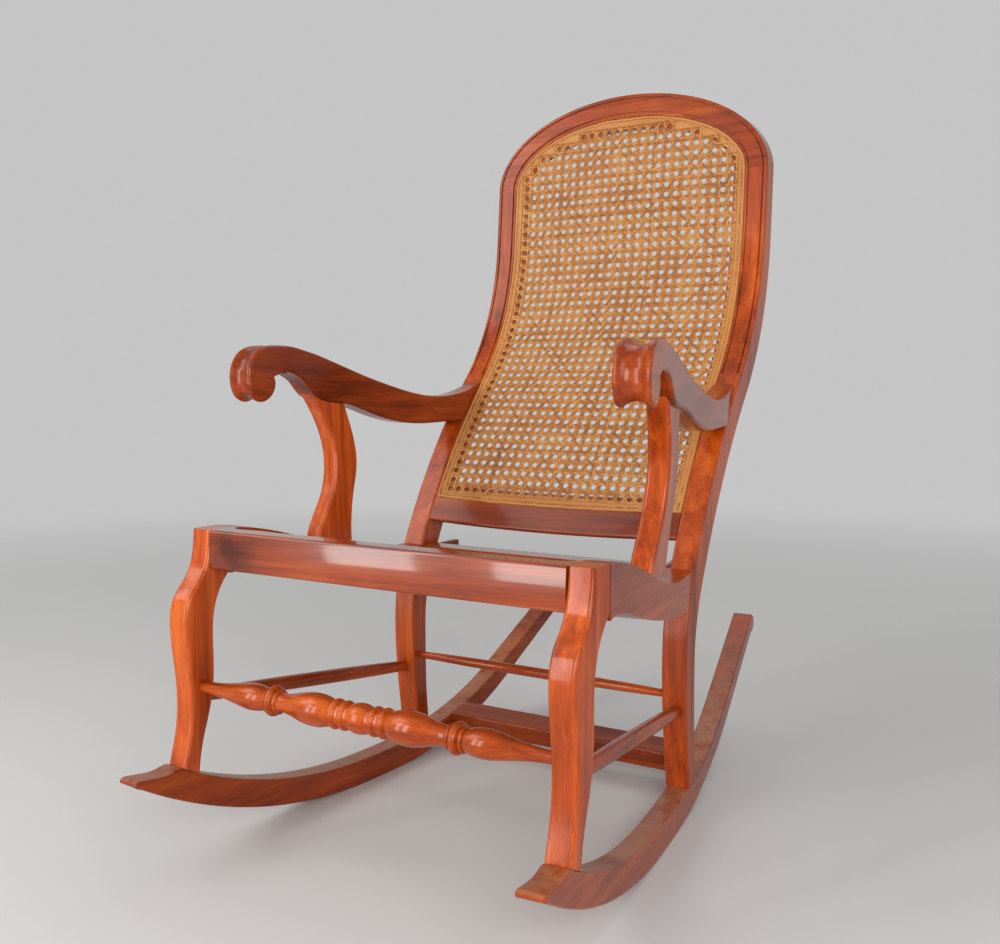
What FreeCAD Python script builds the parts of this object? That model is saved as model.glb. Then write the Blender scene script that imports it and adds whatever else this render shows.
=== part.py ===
# Rocking armchair of sawn and turned hardwood with a cane seat and a tall curved cane back.
# Millimetres. +Z is up, the sitter faces -Y, +X is the side seen nearest in a view from the
# front right. The chair stands on its two rockers at Z = 0.
import FreeCAD
import Part
import math
import os

V = FreeCAD.Vector

# clearances
fit = 0.15             # gap left all round a tenon, dowel or scribed joint
lay = 0.2              # gap under cane and bindings that lie on wood
lay_back = 0.5         # the same on the curved back

# plan
front_half = 283.0     # centre to the outer face of a front leg
leg_thick = 32.0       # front leg, across the chair
back_half = 241.0      # centre to the outer face of a rear post
post_thick = 35.0      # rear post, across the chair
front_leg_y = -349.0   # middle of a front foot
rear_foot_y = 96.0     # middle of a rear foot

# rockers
contact_y = -10.0      # where the rockers touch the floor
rocker_thick = 32.0
rocker_depth = 37.0    # square to the lower edge
rocker_tail_depth = 23.0
rest_radius = 1500.0   # flatter run that the chair rests on
rest_front_y = -55.0
rest_rear_y = 45.0
rocker_front_radius = 733.0
rocker_rear_radius = 600.0
tail_start_y = 320.0   # behind this the rocker is straight
tail_y = 500.0
toe_length = 73.0      # in front of the front foot
toe_dip = 0.5          # shallow hollow carved on top of the toe
toe_lip = 3.5          # rise of the toe's tip above the foot of the leg
rocker_ease = 2.5      # rounding of the long edges
tail_heel = 4.0        # swelling under the tail end

# front legs
leg_top_z = 413.5
rail_front_y = -310.0  # front face of the front seat rail
foot_depth = 24.0
leg_block_depth = 35.0
leg_round = 5.0        # front edges
leg_ease = 2.0         # rear edges
# side view of the leg: distance behind the middle of the foot, height above the rocker
leg_front_edge = [(-14, -14), (-12, 5), (-4, 34), (3, 86), (0, 130), (-5, 176), (2, 218), (26, 247)]
leg_rear_edge = [(11, -14), (13, 6), (19, 34), (31, 70), (39, 108), (40, 146), (41, 184), (48, 212),
                 (60, 232)]

# seat frame
rail_height = 50.0
front_rail_deep = 48.0
front_tenon_back = 12.0    # middle of the front rail's tenons behind its face
side_rail_thick = 46.0
rear_rail_deep = 37.0
rear_rail_front_y = 78.0
side_rail_height = 48.0
seat_fall_y = -290.0       # the seat's top is level in front of this
rail_crown = 3.6           # bulge of the front rail's face
seat_low_y = 30.0          # lowest part of the seat's top
seat_drop = 71.5           # fall of the seat from the front rail to its low point
seat_lift = 2.5            # rise from the low point to the rear rail
# lower edge of a side rail: distance behind the front rail, extra depth of the rail
side_rail_dips = [(-24, 14.0), (27, 7.0), (86, 8.0), (178, 3.0), (245, -2.0), (321, 1.5), (355, 0.5),
                  (430, -12.0)]
tenon_long = 14.0
rear_tenon_long = 10.0
rail_ease = 2.5            # rounding of the long edges of the front rail and the bar
tenon_thick = 10.0
tenon_high = 26.0
seat_edge_front = 24.0     # wood left bare in front of the cane
seat_edge_side = 36.0
seat_corner = 26.0
cane_thick = 2.4
seat_sink = 5.5            # top of the seat's cane under the top of its rails
net_columns = 8            # openings across a panel, each for three by three holes of the weave
net_pitch = 46.35
net_gap = 28.0
net_margin = 17.0          # closed border round the openings
binding_wide = 5.0
binding_thick = 1.4
block_leg = 48.0           # legs of the glued corner blocks
block_high = 30.0

# rear posts, as tangent arcs from the foot up: radius and lean from the vertical at its end
foot_lean = -9.0
post_arcs = [(1100.0, 0.0), (255.0, 26.0), (1010.0, 44.0), (388.0, 5.0), (4600.0, 1.5)]
post_knee_z = 220.5
post_seat_z = 344.5
post_foot_depth = 27.0
post_knee_depth = 37.0
post_seat_depth = 43.0
post_arm_depth = 41.0
post_top_depth = 35.0
post_foot_z = 48.5
frame_ease = 3.0           # rounding of the long edges of posts and crest

# back frame
crest_joint_z = 931.5
crest_rise = 139.0         # top of the crest above the joint
crest_wide = 36.0          # width of the arched rail at its top
low_rail_bottom = 379.0
low_rail_top = 415.5
low_rail_sag = 5.0         # both edges of the rail are this much lower in the middle
low_rail_thick = 22.0
low_rail_ease = 4.0        # rounding of its lower edges
ledge_wide = 20.0          # rebate that carries the edge of the cane
ledge_thick = 12.0
rebate = 4.8               # depth of the rebate below the face of the frame
bead_wide = 5.5
groove_wide = 2.6
groove_deep = 3.0
inner_bead = 3.5
moulding_start_z = 596.5
back_bulge = 9.0           # how far the stretched cane stands forward of its edges

# arms
arm_thick = 36.0
scroll_y = -188.0
scroll_z = 608.5
scroll_rise = 39.5          # top of the scroll over its middle
scroll_wide = 43.0         # front end of the arm, across the chair
hollow_r = 20.0            # radius of the hollow between the scroll's two rims
hollow_deep = 7.0
arm_waist = 3.5            # the outer face is dished by this much in the middle
screw_bite = 13.0          # length of the arm's screw in the arm
notch_r = 3.2              # root of the notch behind the scroll
arm_front_half = 298.0     # centre to the outer face of a scroll
arm_low_z = 575.5          # lowest part of the arm's top
arm_low_y = 150.0
arm_sweep = 36.0           # rise of the arm's top where it runs into the post
arm_depth = 45.0
arm_round = 4.5

# arm supports
support_thick = 29.0
support_y = -87.0
support_foot_half = 260.0  # centre to the outer face at the seat rail
support_top_half = 275.0
support_depth = 42.0
support_hollow = 35.0      # how far the front edge curves back from its ends

# stretchers
front_str_z = 217.5
front_str_r = 18.8
side_str_r = 10.0
side_str_front_z = 200.5
side_str_rear_z = 152.5
rear_str_z = 170.5
rear_str_r = 7.5
peg_r = 5.0                # round tenons and dowels
peg_long = 13.0
bar_y = 188.0              # plank between the rockers
bar_deep = 40.0
bar_high = 31.0
bar_lift = 3.0             # middle of the bar above the middle of the rocker


origin_y = (front_leg_y - foot_depth/2 - toe_length + tail_y)/2


# plane figures and solids

def yz(points):
    return [V(0, y, z) for y, z in points]


def curve(points):
    """Smooth edge through the given points."""
    line = Part.BSplineCurve()
    line.interpolate(points)
    return line.toShape()


def outline(edges):
    return Part.Wire(Part.__sortEdges__(edges))


def plate(edges, x0, x1):
    """Flat figure in the side plane, as a plank between two X values."""
    face = Part.Face(outline(edges))
    face.translate(V(x0, 0, 0))
    return face.extrude(V(x1 - x0, 0, 0))


def line(a, b):
    return Part.LineSegment(a, b).toShape()


def between(front, rear, x0, x1):
    """Plank whose side view lies between a front curve and a rear curve, both from the bottom up."""
    edges = [curve(front), line(front[-1], rear[-1]), curve(rear), line(rear[0], front[0])]
    return plate(edges, x0, x1)


def box(x0, x1, y0, y1, z0, z1):
    return Part.makeBox(x1 - x0, y1 - y0, z1 - z0, V(x0, y0, z0))


def rod(r, start, end):
    way = end.sub(start)
    return Part.makeCylinder(r, way.Length, start, way)


def turn(shape, x, y, angle):
    """Copy turned about an upright axis; the front end of a right hand piece swings out."""
    out = shape.copy()
    out.rotate(V(x, y, 0), V(0, 0, 1), angle)
    return out


def mirrored(shape):
    return shape.mirror(V(0, 0, 0), V(1, 0, 0))


def blend(stations, at):
    """Value that eases from one station to the next; a station is a place and a value."""
    if at <= stations[0][0]:
        return stations[0][1]
    for (a, va), (b, vb) in zip(stations[:-1], stations[1:]):
        if at <= b:
            t = (at - a)/(b - a)
            return va + (vb - va)*(3*t*t - 2*t*t*t)
    return stations[-1][1]


def rounded(shape, radius, wanted):
    """Shape with a fillet on each edge that the test picks."""
    edges = [e for e in shape.Edges if wanted(e)]
    eased = shape.makeFillet(radius, edges)
    if not eased.isValid():
        eased.fix(0.01, 0.01, 0.1)
    return eased


def spread(a, b, count):
    return [a + (b - a)*k/count for k in range(count + 1)]


def on_sides(e):
    """An edge that runs along one of the flat sides of a plank."""
    return e.BoundBox.XLength < 0.01


def single(shape):
    """The one solid of a result."""
    solids = sorted(shape.Solids, key=lambda s: s.Volume)
    return solids[-1]


# centre lines

post_x = back_half - post_thick/2
post_in = back_half - post_thick
leg_x = front_half - leg_thick/2
leg_in = front_half - leg_thick
rocker_turn = math.degrees(math.atan2(leg_x - post_x, rear_foot_y - front_leg_y))
arm_x = arm_front_half - arm_thick/2


def rocker_lean(y):
    """Slope of the rocker's lower edge, in radians."""
    y = min(y, tail_start_y)
    steep = (min(max(y, rest_front_y), rest_rear_y) - contact_y)/rest_radius
    if y < rest_front_y:
        steep += (y - rest_front_y)/rocker_front_radius
    if y > rest_rear_y:
        steep += (y - rest_rear_y)/rocker_rear_radius
    return math.asin(steep)


def rise(radius, a, b):
    """Height gained along an arc between two slopes."""
    return radius*(math.cos(a) - math.cos(b))


def rocker_bottom(y):
    """Height of the lower edge: the run at rest, an arc to each side of it, a straight tail."""
    lean = rocker_lean(y)
    if y < rest_front_y:
        edge = rocker_lean(rest_front_y)
        return rise(rest_radius, 0, edge) + rise(rocker_front_radius, edge, lean)
    if y < rest_rear_y:
        return rise(rest_radius, 0, lean)
    edge = rocker_lean(rest_rear_y)
    past = max(0.0, y - tail_start_y)
    return rise(rest_radius, 0, edge) + rise(rocker_rear_radius, edge, lean) + past*math.tan(lean)


def rocker_thickness(y):
    if y < rear_foot_y:
        return rocker_depth
    return rocker_depth + (rocker_tail_depth - rocker_depth)*(y - rear_foot_y)/(tail_y - rear_foot_y)


def rocker_upper(y):
    """Point of the upper edge square above the lower edge at y."""
    lean = rocker_lean(y)
    deep = rocker_thickness(y)
    return V(0, y - deep*math.sin(lean), rocker_bottom(y) + deep*math.cos(lean))


def rocker_top(y):
    """Height of the upper edge straight above y."""
    foot = y
    for _ in range(30):
        foot = y + rocker_thickness(foot)*math.sin(rocker_lean(foot))
    return rocker_upper(foot).z


def post_point(s):
    """Middle line of a rear post: y, z and lean at a length s above the foot."""
    y, z, lean = rear_foot_y, post_foot_z, math.radians(foot_lean)
    if s < 0:
        return y + s*math.sin(lean), z + s*math.cos(lean), lean
    for k, (radius, end) in enumerate(post_arcs):
        way = math.radians(end) - lean
        span = radius*abs(way)
        run = s if k == len(post_arcs) - 1 else min(s, span)
        new = lean + math.copysign(run/radius, way)
        signed = math.copysign(radius, way)
        y += signed*(math.cos(lean) - math.cos(new))
        z += signed*(math.sin(new) - math.sin(lean))
        lean = new
        s -= run
        if s <= 0:
            break
    return y, z, lean


def post_length(z_wanted):
    """Length along the post's middle line to a height."""
    low, high = -60.0, 1400.0
    for _ in range(50):
        mid = (low + high)/2
        if post_point(mid)[1] < z_wanted:
            low = mid
        else:
            high = mid
    return (low + high)/2


post_depths = [(post_foot_z, post_foot_depth), (post_knee_z, post_knee_depth),
               (post_seat_z, post_seat_depth), (scroll_z, post_arm_depth),
               (crest_joint_z, post_top_depth)]


def post_front(s, d=0.0):
    """Point d behind the front face of the post."""
    y, z, lean = post_point(s)
    out = blend(post_depths, z)/2 - d
    return V(0, y - out*math.cos(lean), z + out*math.sin(lean))


def post_rear(s, d=0.0):
    """Point d in front of the rear face of the post."""
    y, z, lean = post_point(s)
    out = blend(post_depths, z)/2 - d
    return V(0, y + out*math.cos(lean), z - out*math.sin(lean))


def stations(a, b, step=15.0):
    count = max(4, int(math.ceil((b - a)/step)))
    return [a + (b - a)*k/count for k in range(count + 1)]


def strip(d0, d1, a, b, x0, x1):
    """Layer of the post between two depths behind its front face; d1 None means the rear face."""
    lengths = stations(a, b)
    front = [post_front(s, d0) for s in lengths]
    if d1 is None:
        rear = [post_rear(s) for s in lengths]
    elif d1 < 0:
        rear = [post_rear(s, d1) for s in lengths]
    else:
        rear = [post_front(s, d1) for s in lengths]
    return between(front, rear, x0, x1)


seat_front_y = rail_front_y + front_rail_deep


def seat_z(y):
    """Height of the top of the seat frame."""
    drops = [(seat_fall_y, 0.0), (seat_low_y, seat_drop), (seat_low_y + 70, seat_drop - seat_lift)]
    return leg_top_z - blend(drops, y)


# front to rear run of the seat's top, past the legs and the frame at both ends
seat_start = rail_front_y - 80
seat_end = rear_rail_front_y + rear_rail_deep + 40
seat_run = [seat_start + (seat_end - seat_start)*k/24 for k in range(25)]


def under_seat(raise_by, lower_to, x0, x1):
    """Everything under the seat's top surface, raised or lowered."""
    top = [V(0, y, seat_z(y) + raise_by) for y in seat_run]
    foot_a = V(0, seat_run[-1], lower_to)
    foot_b = V(0, seat_run[0], lower_to)
    return plate([curve(top), line(top[-1], foot_a), line(foot_a, foot_b), line(foot_b, top[0])], x0, x1)


def seat_layer(low, high, x0, x1):
    top = [V(0, y, seat_z(y) + high) for y in seat_run]
    bottom = [V(0, y, seat_z(y) + low) for y in seat_run]
    edges = [curve(top), line(top[-1], bottom[-1]), curve(bottom), line(bottom[0], top[0])]
    return plate(edges, x0, x1)


# rockers

def rocker_shape():
    """Right rocker in the side plane, before it is turned to its place."""
    tip_y = front_leg_y - foot_depth/2 - toe_length
    heel_y = front_leg_y - foot_depth/2 - 2
    nose_y = tip_y + 14
    low = [V(0, y, rocker_bottom(y)) for y in spread(nose_y, rest_front_y, 12)]
    rest = [V(0, y, rocker_bottom(y)) for y in spread(rest_front_y, rest_rear_y, 4)]
    low_rear = [V(0, y, rocker_bottom(y)) for y in spread(rest_rear_y, tail_start_y, 8)]
    tail_low = V(0, tail_y, rocker_bottom(tail_y))
    tail_top = rocker_upper(tail_y)
    upper = [rocker_upper(y) for y in spread(heel_y - 14, tail_start_y, 30)]
    upper = [p for p in upper if p.y > heel_y + 4] + [rocker_upper(tail_start_y + 60)]
    crown = rocker_top(heel_y)
    reach = toe_length
    toe = [low[0], V(0, tip_y + 4.5, low[0].z + 5), V(0, tip_y, crown + toe_lip*0.1),
           V(0, tip_y + 3, crown + toe_lip*0.95), V(0, tip_y + reach*0.15, crown + toe_lip),
           V(0, tip_y + reach*0.34, crown + toe_lip*0.4), V(0, tip_y + reach*0.56, crown - toe_dip),
           V(0, tip_y + reach*0.76, crown + 0.5), V(0, tip_y + reach*0.88, crown + 1.8),
           V(0, heel_y, crown)]
    edges = [curve(toe), curve([toe[-1]] + upper), line(upper[-1], tail_top), line(tail_top, tail_low),
             line(tail_low, low_rear[-1]), curve(low_rear), curve(rest), curve(low)]
    half = rocker_thick/2
    body = plate(edges, -half, half)
    slope = rocker_lean(tail_y)
    heel_r = (rocker_tail_depth + tail_heel)/2
    middle = tail_top.add(V(0, heel_r*math.sin(slope) - heel_r*0.55*math.cos(slope),
                            -heel_r*math.cos(slope) - heel_r*0.55*math.sin(slope)))
    heel = rod(heel_r, middle.add(V(-half, 0, 0)), middle.add(V(half, 0, 0)))
    body = body.fuse(heel).removeSplitter()
    body = rounded(body, rocker_ease, lambda e: on_sides(e) and e.Length > 60)
    body.translate(V(post_x, 0, 0))
    return turn(body, post_x, rear_foot_y, rocker_turn)


def under_rocker(gap):
    """Block under the upper face of the right rocker, for scribing what stands on it."""
    top = [V(0, y, rocker_top(y) + gap) for y in spread(front_leg_y - 40, rear_foot_y + 70, 24)]
    a = V(0, top[-1].y, -60)
    b = V(0, top[0].y, -60)
    block = plate([curve(top), line(top[-1], a), line(a, b), line(b, top[0])], -40, 40)
    block.translate(V(post_x, 0, 0))
    return turn(block, post_x, rear_foot_y, rocker_turn)


# front legs

foot_top_z = rocker_top(front_leg_y)
rail_bottom_z = leg_top_z - rail_height


def leg_edge_y(edge, z):
    """Where an edge of the leg's side view stands at a height, straight between its points."""
    for (ya, za), (yb, zb) in zip(edge[:-1], edge[1:]):
        if z - foot_top_z <= zb:
            return front_leg_y + ya + (yb - ya)*(z - foot_top_z - za)/(zb - za)


ankle_rear_y = leg_edge_y(leg_rear_edge, side_str_front_z)
ankle_y = (leg_edge_y(leg_front_edge, front_str_z) + leg_edge_y(leg_rear_edge, front_str_z))/2


def leg_shape():
    """Right front leg: square block at the rails, then a knee, an ankle and a foot."""
    block_rear = rail_front_y + leg_block_depth
    front = [(front_leg_y + y, foot_top_z + z) for y, z in leg_front_edge]
    front += [(rail_front_y - 3, rail_bottom_z + rail_height*0.55), (rail_front_y - 1, leg_top_z + 14)]
    rear = [(front_leg_y + y, foot_top_z + z) for y, z in leg_rear_edge]
    rear += [(block_rear, rail_bottom_z - 4)]
    fs = curve(yz(front))
    rs = curve(yz(rear))
    top_f = V(0, front[-1][0], front[-1][1])
    top_r = V(0, block_rear, front[-1][1])
    joint = V(0, rear[-1][0], rear[-1][1])
    start_f = V(0, front[0][0], front[0][1])
    start_r = V(0, rear[0][0], rear[0][1])
    edges = [fs, line(top_f, top_r), line(top_r, joint), rs, line(start_r, start_f)]
    half = leg_thick/2
    leg = plate(edges, leg_x - half, leg_x + half)

    def front_arris(e):
        b = e.BoundBox
        at_side = abs(b.XMin - leg_x + half) < 0.01 or abs(b.XMax - leg_x - half) < 0.01
        return at_side and b.XLength < 0.01 and b.ZLength > 200 and b.YMin < front_leg_y - 10
    leg = rounded(leg, leg_round, front_arris)

    def rear_arris(e):
        b = e.BoundBox
        return b.XLength < 0.01 and b.ZLength > 200 and b.YMax > front_leg_y + 30
    leg = rounded(leg, leg_ease, rear_arris)
    leg = leg.cut(under_rocker(fit/2))
    return leg.common(under_seat(0, -50, 0, 400))


# seat rails

side_turn = math.degrees(math.atan2(front_half - back_half, rear_rail_front_y - seat_front_y))
side_x = front_half - side_rail_thick/2


def front_rail_tenon(gap):
    z = rail_bottom_z + rail_height/2 - 3
    y = rail_front_y + front_tenon_back
    return box(leg_in - 1, leg_in + tenon_long + gap, y - tenon_thick/2 - gap, y + tenon_thick/2 + gap,
               z - tenon_high/2 - gap, z + tenon_high/2 + gap)


def front_rail_shape():
    y0 = rail_front_y
    z0 = rail_bottom_z
    low = V(0, y0 - 2.5, z0 + 1)
    middle = V(0, y0 - rail_crown, z0 + rail_height*0.5)
    high = V(0, y0 - 0.8, leg_top_z + 8)
    edges = [Part.Arc(low, middle, high).toShape(), line(high, V(0, y0 + front_rail_deep, leg_top_z + 8)),
             line(V(0, y0 + front_rail_deep, leg_top_z + 8), V(0, y0 + front_rail_deep, z0)),
             line(V(0, y0 + front_rail_deep, z0), low)]
    rail = plate(edges, -leg_in + fit, leg_in - fit)
    rail = rail.common(under_seat(0, 0, -400, 400))

    def top_arris(e):
        b = e.BoundBox
        return b.XLength > 400 and b.ZMax > leg_top_z - 3 and b.YMax < y0 + 12
    rail = rounded(rail, 4.0, top_arris)

    def low_arris(e):
        b = e.BoundBox
        return b.XLength > 400 and b.ZMax < z0 + 2 and b.YMax < y0 + 12
    rail = rounded(rail, rail_ease, low_arris)
    tenon = front_rail_tenon(0)
    return single(rail.fuse([tenon, mirrored(tenon)]).removeSplitter())


def side_rail_plank(grow):
    """Right side rail before it is cut to length: a dipping top, and an ogee along its lower edge."""
    slant = math.cos(math.radians(side_turn))
    ends = [side_rail_dips[0][0], side_rail_dips[-1][0]]
    high = [(y, seat_z(seat_front_y + y*slant)) for y in spread(ends[0], ends[1], 24)]
    low = [(y, seat_z(seat_front_y + y*slant) - side_rail_height - dip) for y, dip in side_rail_dips]
    top = [V(0, seat_front_y + y, z + grow) for y, z in high]
    pts = [V(0, seat_front_y + y, z - grow) for y, z in low]
    plank = plate([curve(pts), line(pts[-1], top[-1]), curve(top), line(top[0], pts[0])],
                  side_x - side_rail_thick/2 - grow, side_x + side_rail_thick/2 + grow)
    return turn(plank, side_x, seat_front_y - 8, side_turn)


def side_rail_tenons(gap):
    """Tenons of the right side rail, into the front leg and into the rear post."""
    yf = rail_front_y + leg_block_depth
    zf = seat_z(yf) - rail_height/2 - 2
    front = box(leg_x - tenon_thick/2 - gap, leg_x + tenon_thick/2 + gap, yf - tenon_long - gap, yf + 2,
                zf - tenon_high/2 - gap, zf + tenon_high/2 + gap)
    zr = seat_z(seat_low_y) - side_rail_height/2 + 2
    yr = post_front(post_length(zr)).y
    rear = box(post_x - tenon_thick/2 - gap, post_x + tenon_thick/2 + gap, yr - 9, yr + tenon_long + gap,
               zr - tenon_high/2 - gap, zr + tenon_high/2 + gap)
    return front, rear


def post_envelope(gap, a=-30.0, b=None, wide=12.0):
    """Space taken by the right post, a little larger all round."""
    if b is None:
        b = post_length(crest_joint_z + 40)
    lengths = stations(a, b)
    front = [post_front(s, -gap) for s in lengths]
    rear = [post_rear(s, -gap - 40) for s in lengths]
    return between(front, rear, post_in - wide, back_half + wide)


def side_rail_shape():
    rail = side_rail_plank(0)
    y0 = rail_front_y + leg_block_depth + fit
    rail = rail.cut(box(0, 400, y0 - 100, y0, 0, 600))
    rail = rail.cut(box(0, leg_in + fit, y0 - 100, seat_front_y + fit, 0, 600))
    rail = single(rail.cut(post_envelope(fit, post_length(200), post_length(480))))
    front, rear = side_rail_tenons(0)
    return single(rail.fuse([front, rear]).removeSplitter())


def rear_rail_tenon(gap):
    z = seat_z(seat_low_y) - side_rail_height/2 + 3
    y = post_point(post_length(z))[0]
    return box(post_in - 1, post_in + rear_tenon_long + gap, y - tenon_thick/2 - gap,
               y + tenon_thick/2 + gap, z - tenon_high/2 - gap, z + tenon_high/2 + gap)


def rear_rail_shape():
    y0 = rear_rail_front_y
    z0 = seat_z(seat_low_y) - side_rail_height + 6
    rail = box(-post_in + fit, post_in - fit, y0, y0 + rear_rail_deep, z0, leg_top_z)
    rail = rail.common(under_seat(0, 0, -400, 400))
    rail = rail.cut(side_rail_plank(fit)).cut(mirrored(side_rail_plank(fit)))
    tenon = rear_rail_tenon(0)
    return single(rail.fuse([tenon, mirrored(tenon)]).removeSplitter())


def seat_figure(inset, z0, z1):
    """Upright prism over the outline of the seat cane, drawn in from the frame."""
    yf = rail_front_y + seat_edge_front + inset
    yr = rear_rail_front_y + 5 - inset
    slope = math.tan(math.radians(side_turn))
    side = front_half - seat_edge_side - inset

    def half(y):
        return side - (y - seat_front_y)*slope
    c = seat_corner
    clip = 34.0
    right = [V(half(yf) - c, yf, z0), V(half(yf + c), yf + c, z0), V(half(yr - clip), yr - clip, z0),
             V(post_in - 8 - inset, yr, z0)]
    left = [V(-p.x, p.y, p.z) for p in reversed(right)]
    mid_r = V(half(yf + c*0.3) - c*0.3, yf + c*0.3, z0)
    mid_l = V(-mid_r.x, mid_r.y, z0)
    edges = [Part.Arc(right[0], mid_r, right[1]).toShape(),
             line(right[1], right[2]), line(right[2], right[3]),
             line(right[3], left[0]), line(left[0], left[1]), line(left[1], left[2]),
             Part.Arc(left[2], mid_l, left[3]).toShape(), line(left[3], right[0])]
    return Part.Face(outline(edges)).extrude(V(0, 0, z1 - z0))


def seat_openings():
    """Upright prisms for the open weave of the seat, row by row."""
    half = net_gap/2
    front = rail_front_y + seat_edge_front + net_margin
    rear = rear_rail_front_y + 5 - net_margin
    rows = int((rear - front + net_pitch - net_gap)/net_pitch)
    first = (front + rear - (rows - 1)*net_pitch)/2
    slope = math.tan(math.radians(side_turn))
    holes = []
    for k in range(rows):
        y = first + k*net_pitch
        side = front_half - seat_edge_side - (y + half - seat_front_y)*slope - net_margin
        side -= max(0.0, y + half - (rear - net_margin))
        for x in net_places():
            if abs(x) + half < side:
                holes.append(box(x - half, x + half, y - half, y + half, 200, 600))
    return holes


def seat_cane_shape():
    layer = seat_layer(-seat_sink - cane_thick, -seat_sink, -400, 400)
    layer = single(layer.common(seat_figure(fit, 0, 600)))
    return single(layer.cut(seat_openings()))


def seat_rebate():
    """Space cut from the rails for the seat cane."""
    layer = seat_layer(-seat_sink - cane_thick - lay, 30, -400, 400)
    return layer.common(seat_figure(0, 0, 600))


def seat_binding_shape():
    layer = seat_layer(lay - seat_sink, lay - seat_sink + binding_thick, -400, 400)
    ring = seat_figure(fit + 0.5, 0, 600).cut(seat_figure(fit + 0.5 + binding_wide, -1, 601))
    return single(layer.common(ring))


# back frame and cane

def sagging(half, y, z, sag):
    """Lower in the middle than at its ends."""
    if not sag:
        return line(V(-half, y, z), V(half, y, z))
    return Part.Arc(V(-half, y, z), V(0, y, z - sag), V(half, y, z)).toShape()


def arch(half, rise, low, y0=-100.0, y1=700.0, sag=0.0):
    """Prism over the opening of the back: upright sides, half an ellipse on top."""
    centre = V(0, y0, crest_joint_z)
    figure = Part.Ellipse(V(half, y0, crest_joint_z), V(0, y0, crest_joint_z + rise), centre)
    top = Part.ArcOfEllipse(figure, 0, math.pi).toShape()
    a = V(half, y0, crest_joint_z)
    b = V(-half, y0, crest_joint_z)
    edges = [top, line(b, V(-half, y0, low)), sagging(half, y0, low, sag), line(V(half, y0, low), a)]
    return Part.Face(outline(edges)).extrude(V(0, y1 - y0, 0))


def band(half, low, high, sag):
    """Prism along Y between two sagging edges."""
    edges = [sagging(half, 0, low, sag), line(V(half, 0, low), V(half, 0, high)), sagging(half, 0, high, sag),
             line(V(-half, 0, high), V(-half, 0, low))]
    return Part.Face(outline(edges)).extrude(V(0, 500, 0))


inner_rise = crest_rise - crest_wide


def ring(outer_inset, inner_inset, low):
    """Arched band between two distances in from the outer edge of the back."""
    outer = arch(back_half - outer_inset, crest_rise - outer_inset, low)
    inner = arch(back_half - inner_inset, crest_rise - inner_inset*crest_wide/post_thick, low - 5)
    return outer.cut(inner)


s_low = post_length(low_rail_bottom)
s_rail = post_length(low_rail_top)
s_joint = post_length(crest_joint_z)
s_top = post_length(crest_joint_z + crest_rise + 60)
s_mould = post_length(moulding_start_z)


def moulding_cuts(a, b):
    """Grooves and the sunk inner bead along the front of the frame, as layers over the whole width."""
    groove = strip(-6, groove_deep, a, b, -400, 400)
    sunk = strip(-6, 1.2, a, b, -400, 400)
    return groove, sunk


def crest_tenon(gap):
    y, z, lean = post_point(s_joint)
    tenon = box(post_x - tenon_thick/2 - gap, post_x + tenon_thick/2 + gap, y - 8 - gap, y + 8 + gap,
                crest_joint_z - tenon_long - gap, crest_joint_z + 3)
    return tenon


def crest_shape():
    low = crest_joint_z - 20
    slab = strip(0, None, s_joint - 40, s_top, -400, 400)
    body = slab.common(ring(0, post_thick, low))
    body = rounded(body, frame_ease, lambda e: e.Length > 500)
    shelf = strip(rebate, rebate + ledge_thick, s_joint - 40, s_top, -400, 400)
    shelf = shelf.common(ring(post_thick - 2, post_thick + ledge_wide, low))
    body = body.fuse(shelf)
    groove, sunk = moulding_cuts(s_joint - 40, s_top)
    body = body.cut(groove.common(ring(bead_wide, bead_wide + groove_wide, low)))
    a = post_thick - inner_bead
    body = body.cut(groove.common(ring(a - groove_wide, a, low)))
    body = body.cut(sunk.common(ring(a, post_thick + 1, low)))
    body = body.common(box(-400, 400, 0, 600, crest_joint_z + fit, 1300))
    tenon = crest_tenon(0)
    return single(body.fuse([tenon, mirrored(tenon)]).removeSplitter())


def low_rail_tenon(gap):
    y, z, lean = post_point((s_low + s_rail)/2)
    return box(post_in - 1, post_in + tenon_long + gap,
               y - tenon_thick/2 - gap - 4, y + tenon_thick/2 + gap - 4,
               z - tenon_high/2 - gap, z + tenon_high/2 + gap)


def low_rail_shape():
    x = post_in - fit
    rail = strip(1.0, 1.0 + low_rail_thick, s_low - 20, s_rail + 15, -x - 1, x + 1)
    rail = rail.common(band(x, low_rail_bottom, low_rail_top, low_rail_sag))

    def low_arris(e):
        b = e.BoundBox
        return b.XLength > 300 and b.ZMax < low_rail_bottom + 5
    rail = rounded(rail, low_rail_ease, low_arris)
    shelf = strip(rebate, rebate + ledge_thick, s_rail - 30, s_rail + ledge_wide + 20, -x, x)
    inner = post_in - ledge_wide - fit
    shelf = shelf.common(band(inner, low_rail_top - 8, low_rail_top + ledge_wide - 2, low_rail_sag))
    tenon = low_rail_tenon(0)
    return single(rail.fuse([shelf, tenon, mirrored(tenon)]).removeSplitter())


def bulge(x, z):
    """Stand of the stretched cane forward of the frame's curve."""
    across = x/(post_in - ledge_wide)
    over = max(0.0, z - crest_joint_z)/(inner_rise - ledge_wide)
    start = low_rail_top + 14
    up = max(0.0, min(1.0, (z - start)/((crest_joint_z - start)/2)))
    return back_bulge*max(0.0, 1 - across**2 - over**2)**1.5*math.sin(math.pi/2*up)


cane_front = rebate - lay_back - cane_thick


def net_places():
    """Middles of the openings across a panel."""
    return [(k - (net_columns - 1)/2)*net_pitch for k in range(net_columns)]


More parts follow.
